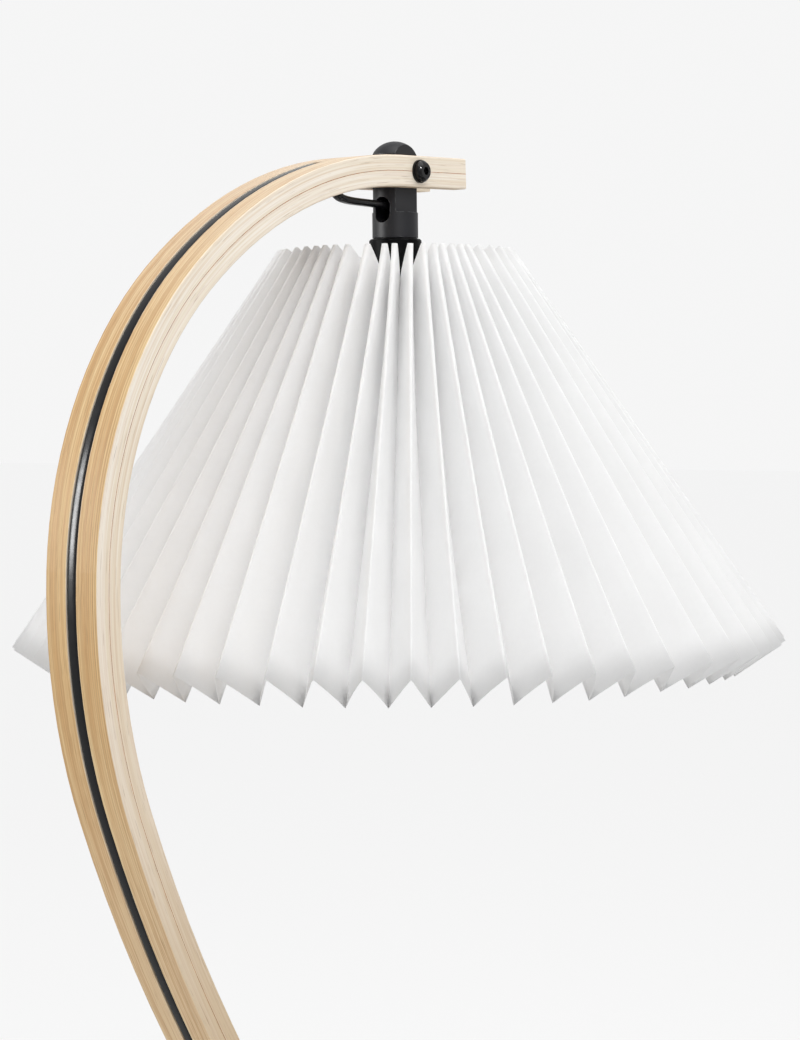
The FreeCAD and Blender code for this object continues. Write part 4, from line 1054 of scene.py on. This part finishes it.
# %% Metals, wire, thread and glass
brass = coated("brass", "b98f45", "cfa75c", 0.3, 1200.0, 0.01, metallic=1.0)
nickel = coated("nickel", "c9c6bf", "dcd9d2", 0.22, 1200.0, 0.008, metallic=1.0)
zinc = coated("zinc", "9a9c9e", "b4b6b8", 0.38, 1500.0, 0.02, metallic=1.0, patches=120.0)
white_wire = coated("white wire", "e3e1da", "efede6", 0.45, 1400.0, 0.02)
brown_core = coated("core insulation", "5f3a28", "72462f", 0.4, 1200.0, 0.01)
phosphor = coated("phosphor strip", "dba93c", "ecc35a", 0.6, 2500.0, 0.02)
dress(brass, "threaded_shell", "centre_contact", "terminal_screws", "switch_contacts")
dress(nickel, "bulb_cap", "plug_pins")
dress(zinc, "friction_washers", "cord_clamp", "clamp_screws", "switch_screws")
dress(white_wire, "shade_carrier")
dress(brown_core, "holder_cores")
dress(phosphor, "bulb_filaments")


def thread_material():
    """Twisted cotton: slanting strands that run round the thread."""
    material, tree, shader = new_material("cotton thread")
    where = object_place(tree)
    waves = {"Vector": where, "Scale": 900.0, "Distortion": 0.6}
    strands = add(tree, "ShaderNodeTexWave", waves, bands_direction="DIAGONAL").outputs["Fac"]
    colour = blend_colours(tree, strands, "d9d4c8", "f1eee6")
    tree.links.new(colour, shader.inputs["Base Color"])
    shader.inputs["Roughness"].default_value = 0.9
    bump = add(tree, "ShaderNodeBump", {"Strength": 0.5, "Distance": 0.0001, "Height": strands})
    tree.links.new(bump.outputs[0], shader.inputs["Normal"])
    return material


def glass_material():
    material, tree, shader = new_material("clear glass")
    where = object_place(tree)
    ripple = noise(tree, where, 60.0, 2.0)
    tree.links.new(remap(tree, ripple, 0.3, 0.7, 0.01, 0.04), shader.inputs["Roughness"])
    colour = blend_colours(tree, ripple, "f6f8f8", "fdfdfd")
    tree.links.new(colour, shader.inputs["Base Color"])
    shader.inputs["Transmission Weight"].default_value = 1.0
    shader.inputs["IOR"].default_value = 1.46
    return material


thread.data.materials.append(thread_material())
glass = glass_material()
dress(glass, "bulb_glass", "bulb_stem")

# %% Cord, foot, pad, switch and plug
def sheath_material():
    """Soft black sheath: almost smooth, with faint marks from the reel."""
    material, tree, shader = new_material("cord sheath")
    where = object_place(tree)
    marks = noise(tree, where, 220.0, 3.0)
    colour = blend_colours(tree, marks, "08080a", "101013")
    tree.links.new(colour, shader.inputs["Base Color"])
    shader.inputs["Specular IOR Level"].default_value = 0.24
    tree.links.new(remap(tree, marks, 0.3, 0.7, 0.22, 0.27), shader.inputs["Roughness"])
    grain = use_group(tree, fine_grain, {"Grains per metre": 1800.0}).outputs[0]
    bump = add(tree, "ShaderNodeBump", {"Strength": 0.05, "Distance": 0.00001, "Height": grain})
    tree.links.new(bump.outputs[0], shader.inputs["Normal"])
    return material


sheath = sheath_material()
for piece in (cord_to_switch, cord_to_plug, cord_into_head, cord_in_bow):
    piece.data.materials.append(sheath)
dress(sheath, "strain_relief", "switch_cord_ends")
iron = coated("powder coated iron", "18181a", "222224", 0.58, 1300.0, 0.09, wear_and_highlight=0.25, patches=18.0)
pad_rubber = coated("foamed rubber", "1d1d1d", "272727", 0.85, 900.0, 0.12)
switch_plastic = coated("grained plastic", "141416", "1e1e20", 0.42, 1700.0, 0.05, wear_and_highlight=0.2)
strap = coated("soft strap", "131314", "1c1c1d", 0.7, 1100.0, 0.10)
dress(iron, "base_casting")
dress(pad_rubber, "base_pad")
dress(switch_plastic, "switch_lower_shell", "switch_upper_shell", "switch_rocker", "plug_body")
coil_strap.data.materials.append(strap)
undressed = [
    name for name, piece in nodes.items()
    if not piece.hide_render and not piece.data.materials[0].use_nodes
]
print("finishes:", len(bpy.data.materials), "pieces without one:", undressed)

# %% [markdown]
# ## Table, light and backdrop
#
# The lamp stands in a plain white studio, lit nearly alike from all sides, which is why the
# folds are so soft.  A soft light just above the head and a weaker one behind the camera
# give the rest.
# The backdrop is a little darker for the camera, for gloss and for glass than for the
# light that falls on the paper, so that the paper stands out against it.

# %% Table top
reach = 30.0
floor_corners = [(-reach, -reach, 0), (reach, -reach, 0), (reach, reach, 0), (-reach, reach, 0)]
floor = new_piece("studio_floor", floor_corners, [(0, 1, 2, 3)])
backdrop_white = 0.918
floor_glow = 1.14
floor_material, tree, shader = new_material("studio floor")
shader.inputs["Base Color"].default_value = (0.78, 0.78, 0.78, 1.0)
shader.inputs["Roughness"].default_value = 0.9
shader.inputs["Specular IOR Level"].default_value = 0.1
backdrop_colour = (backdrop_white,) * 3 + (1.0,)
glow = add(tree, "ShaderNodeEmission", {"Color": backdrop_colour, "Strength": floor_glow})
paths = add(tree, "ShaderNodeLightPath")
share = times(tree, paths.outputs["Is Camera Ray"], 0.6)
mixed = add(tree, "ShaderNodeMixShader", {0: share})
tree.links.new(shader.outputs[0], mixed.inputs[1])
tree.links.new(glow.outputs[0], mixed.inputs[2])
tree.links.new(mixed.outputs[0], tree.nodes["Material Output"].inputs["Surface"])
floor.data.materials.append(floor_material)

# %% Soft lights
right = Vector((0.588, -0.808, 0.0))
ahead = Vector((0.808, 0.588, 0.0))
aim = Vector((0.0, 0.0, 0.55))


def soft_light(name, place, size, power, target=aim):
    data = bpy.data.lights.new(name, "AREA")
    data.shape = "RECTANGLE"
    data.size, data.size_y = size
    data.energy = power
    lamp = put_in_scene(bpy.data.objects.new(name, data))
    lamp.location = place
    lamp.rotation_mode = "QUATERNION"
    lamp.rotation_quaternion = (target - place).to_track_quat("-Z", "Y")
    return lamp


def beside(to_right, to_back, up):
    """A place seen from the middle of the shade, as the camera looks at it."""
    return aim + right * to_right + ahead * to_back + Vector((0, 0, up))


soft_light("main_light", beside(0.7, -2.0, 1.0), (1.4, 1.4), 3.5)
soft_light("top_light", beside(0.15, -0.25, 1.05), (0.9, 0.9), 6.5)
# two cards are only seen in glossy pieces: a tall one draws the bright line down the cord,
# a small one puts glints on the screw
cord_bend = Vector((-0.243, 0.0, 0.50))
beside_cord = cord_bend + Vector((-1.144, 1.170, 0.38))
cards = [
    soft_light("gleam_card", beside_cord, (0.30, 0.7), 26.0, cord_bend),
    soft_light("glint_card", beside(0.5, -1.2, 0.9), (0.25, 0.25), 12.0),
]
for card in cards:
    card.visible_diffuse = False
    card.visible_transmission = False

# %% Backdrop
bpy.context.scene.cycles.diffuse_bounces = 20
bpy.context.scene.cycles.transmission_bounces = 20
bpy.context.scene.cycles.max_bounces = 40
world = bpy.data.worlds.new("studio")
bpy.context.scene.world = world
world.use_nodes = True
tree = world.node_tree
tree.nodes.clear()
ambient = add(tree, "ShaderNodeBackground", {"Color": (1.0, 1.0, 1.0, 1.0), "Strength": 0.86})
seen = add(tree, "ShaderNodeBackground", {"Color": backdrop_colour, "Strength": 1.0})
paths = add(tree, "ShaderNodeLightPath")
direct = calc(tree, "MAXIMUM", paths.outputs["Is Camera Ray"], paths.outputs["Is Transmission Ray"])
direct = calc(tree, "MAXIMUM", direct, paths.outputs["Is Glossy Ray"])
mixed = add(tree, "ShaderNodeMixShader", {0: direct})
tree.links.new(ambient.outputs[0], mixed.inputs[1])
tree.links.new(seen.outputs[0], mixed.inputs[2])
out = add(tree, "ShaderNodeOutputWorld")
tree.links.new(mixed.outputs[0], out.inputs["Surface"])
bpy.context.scene.view_settings.view_transform = "Standard"
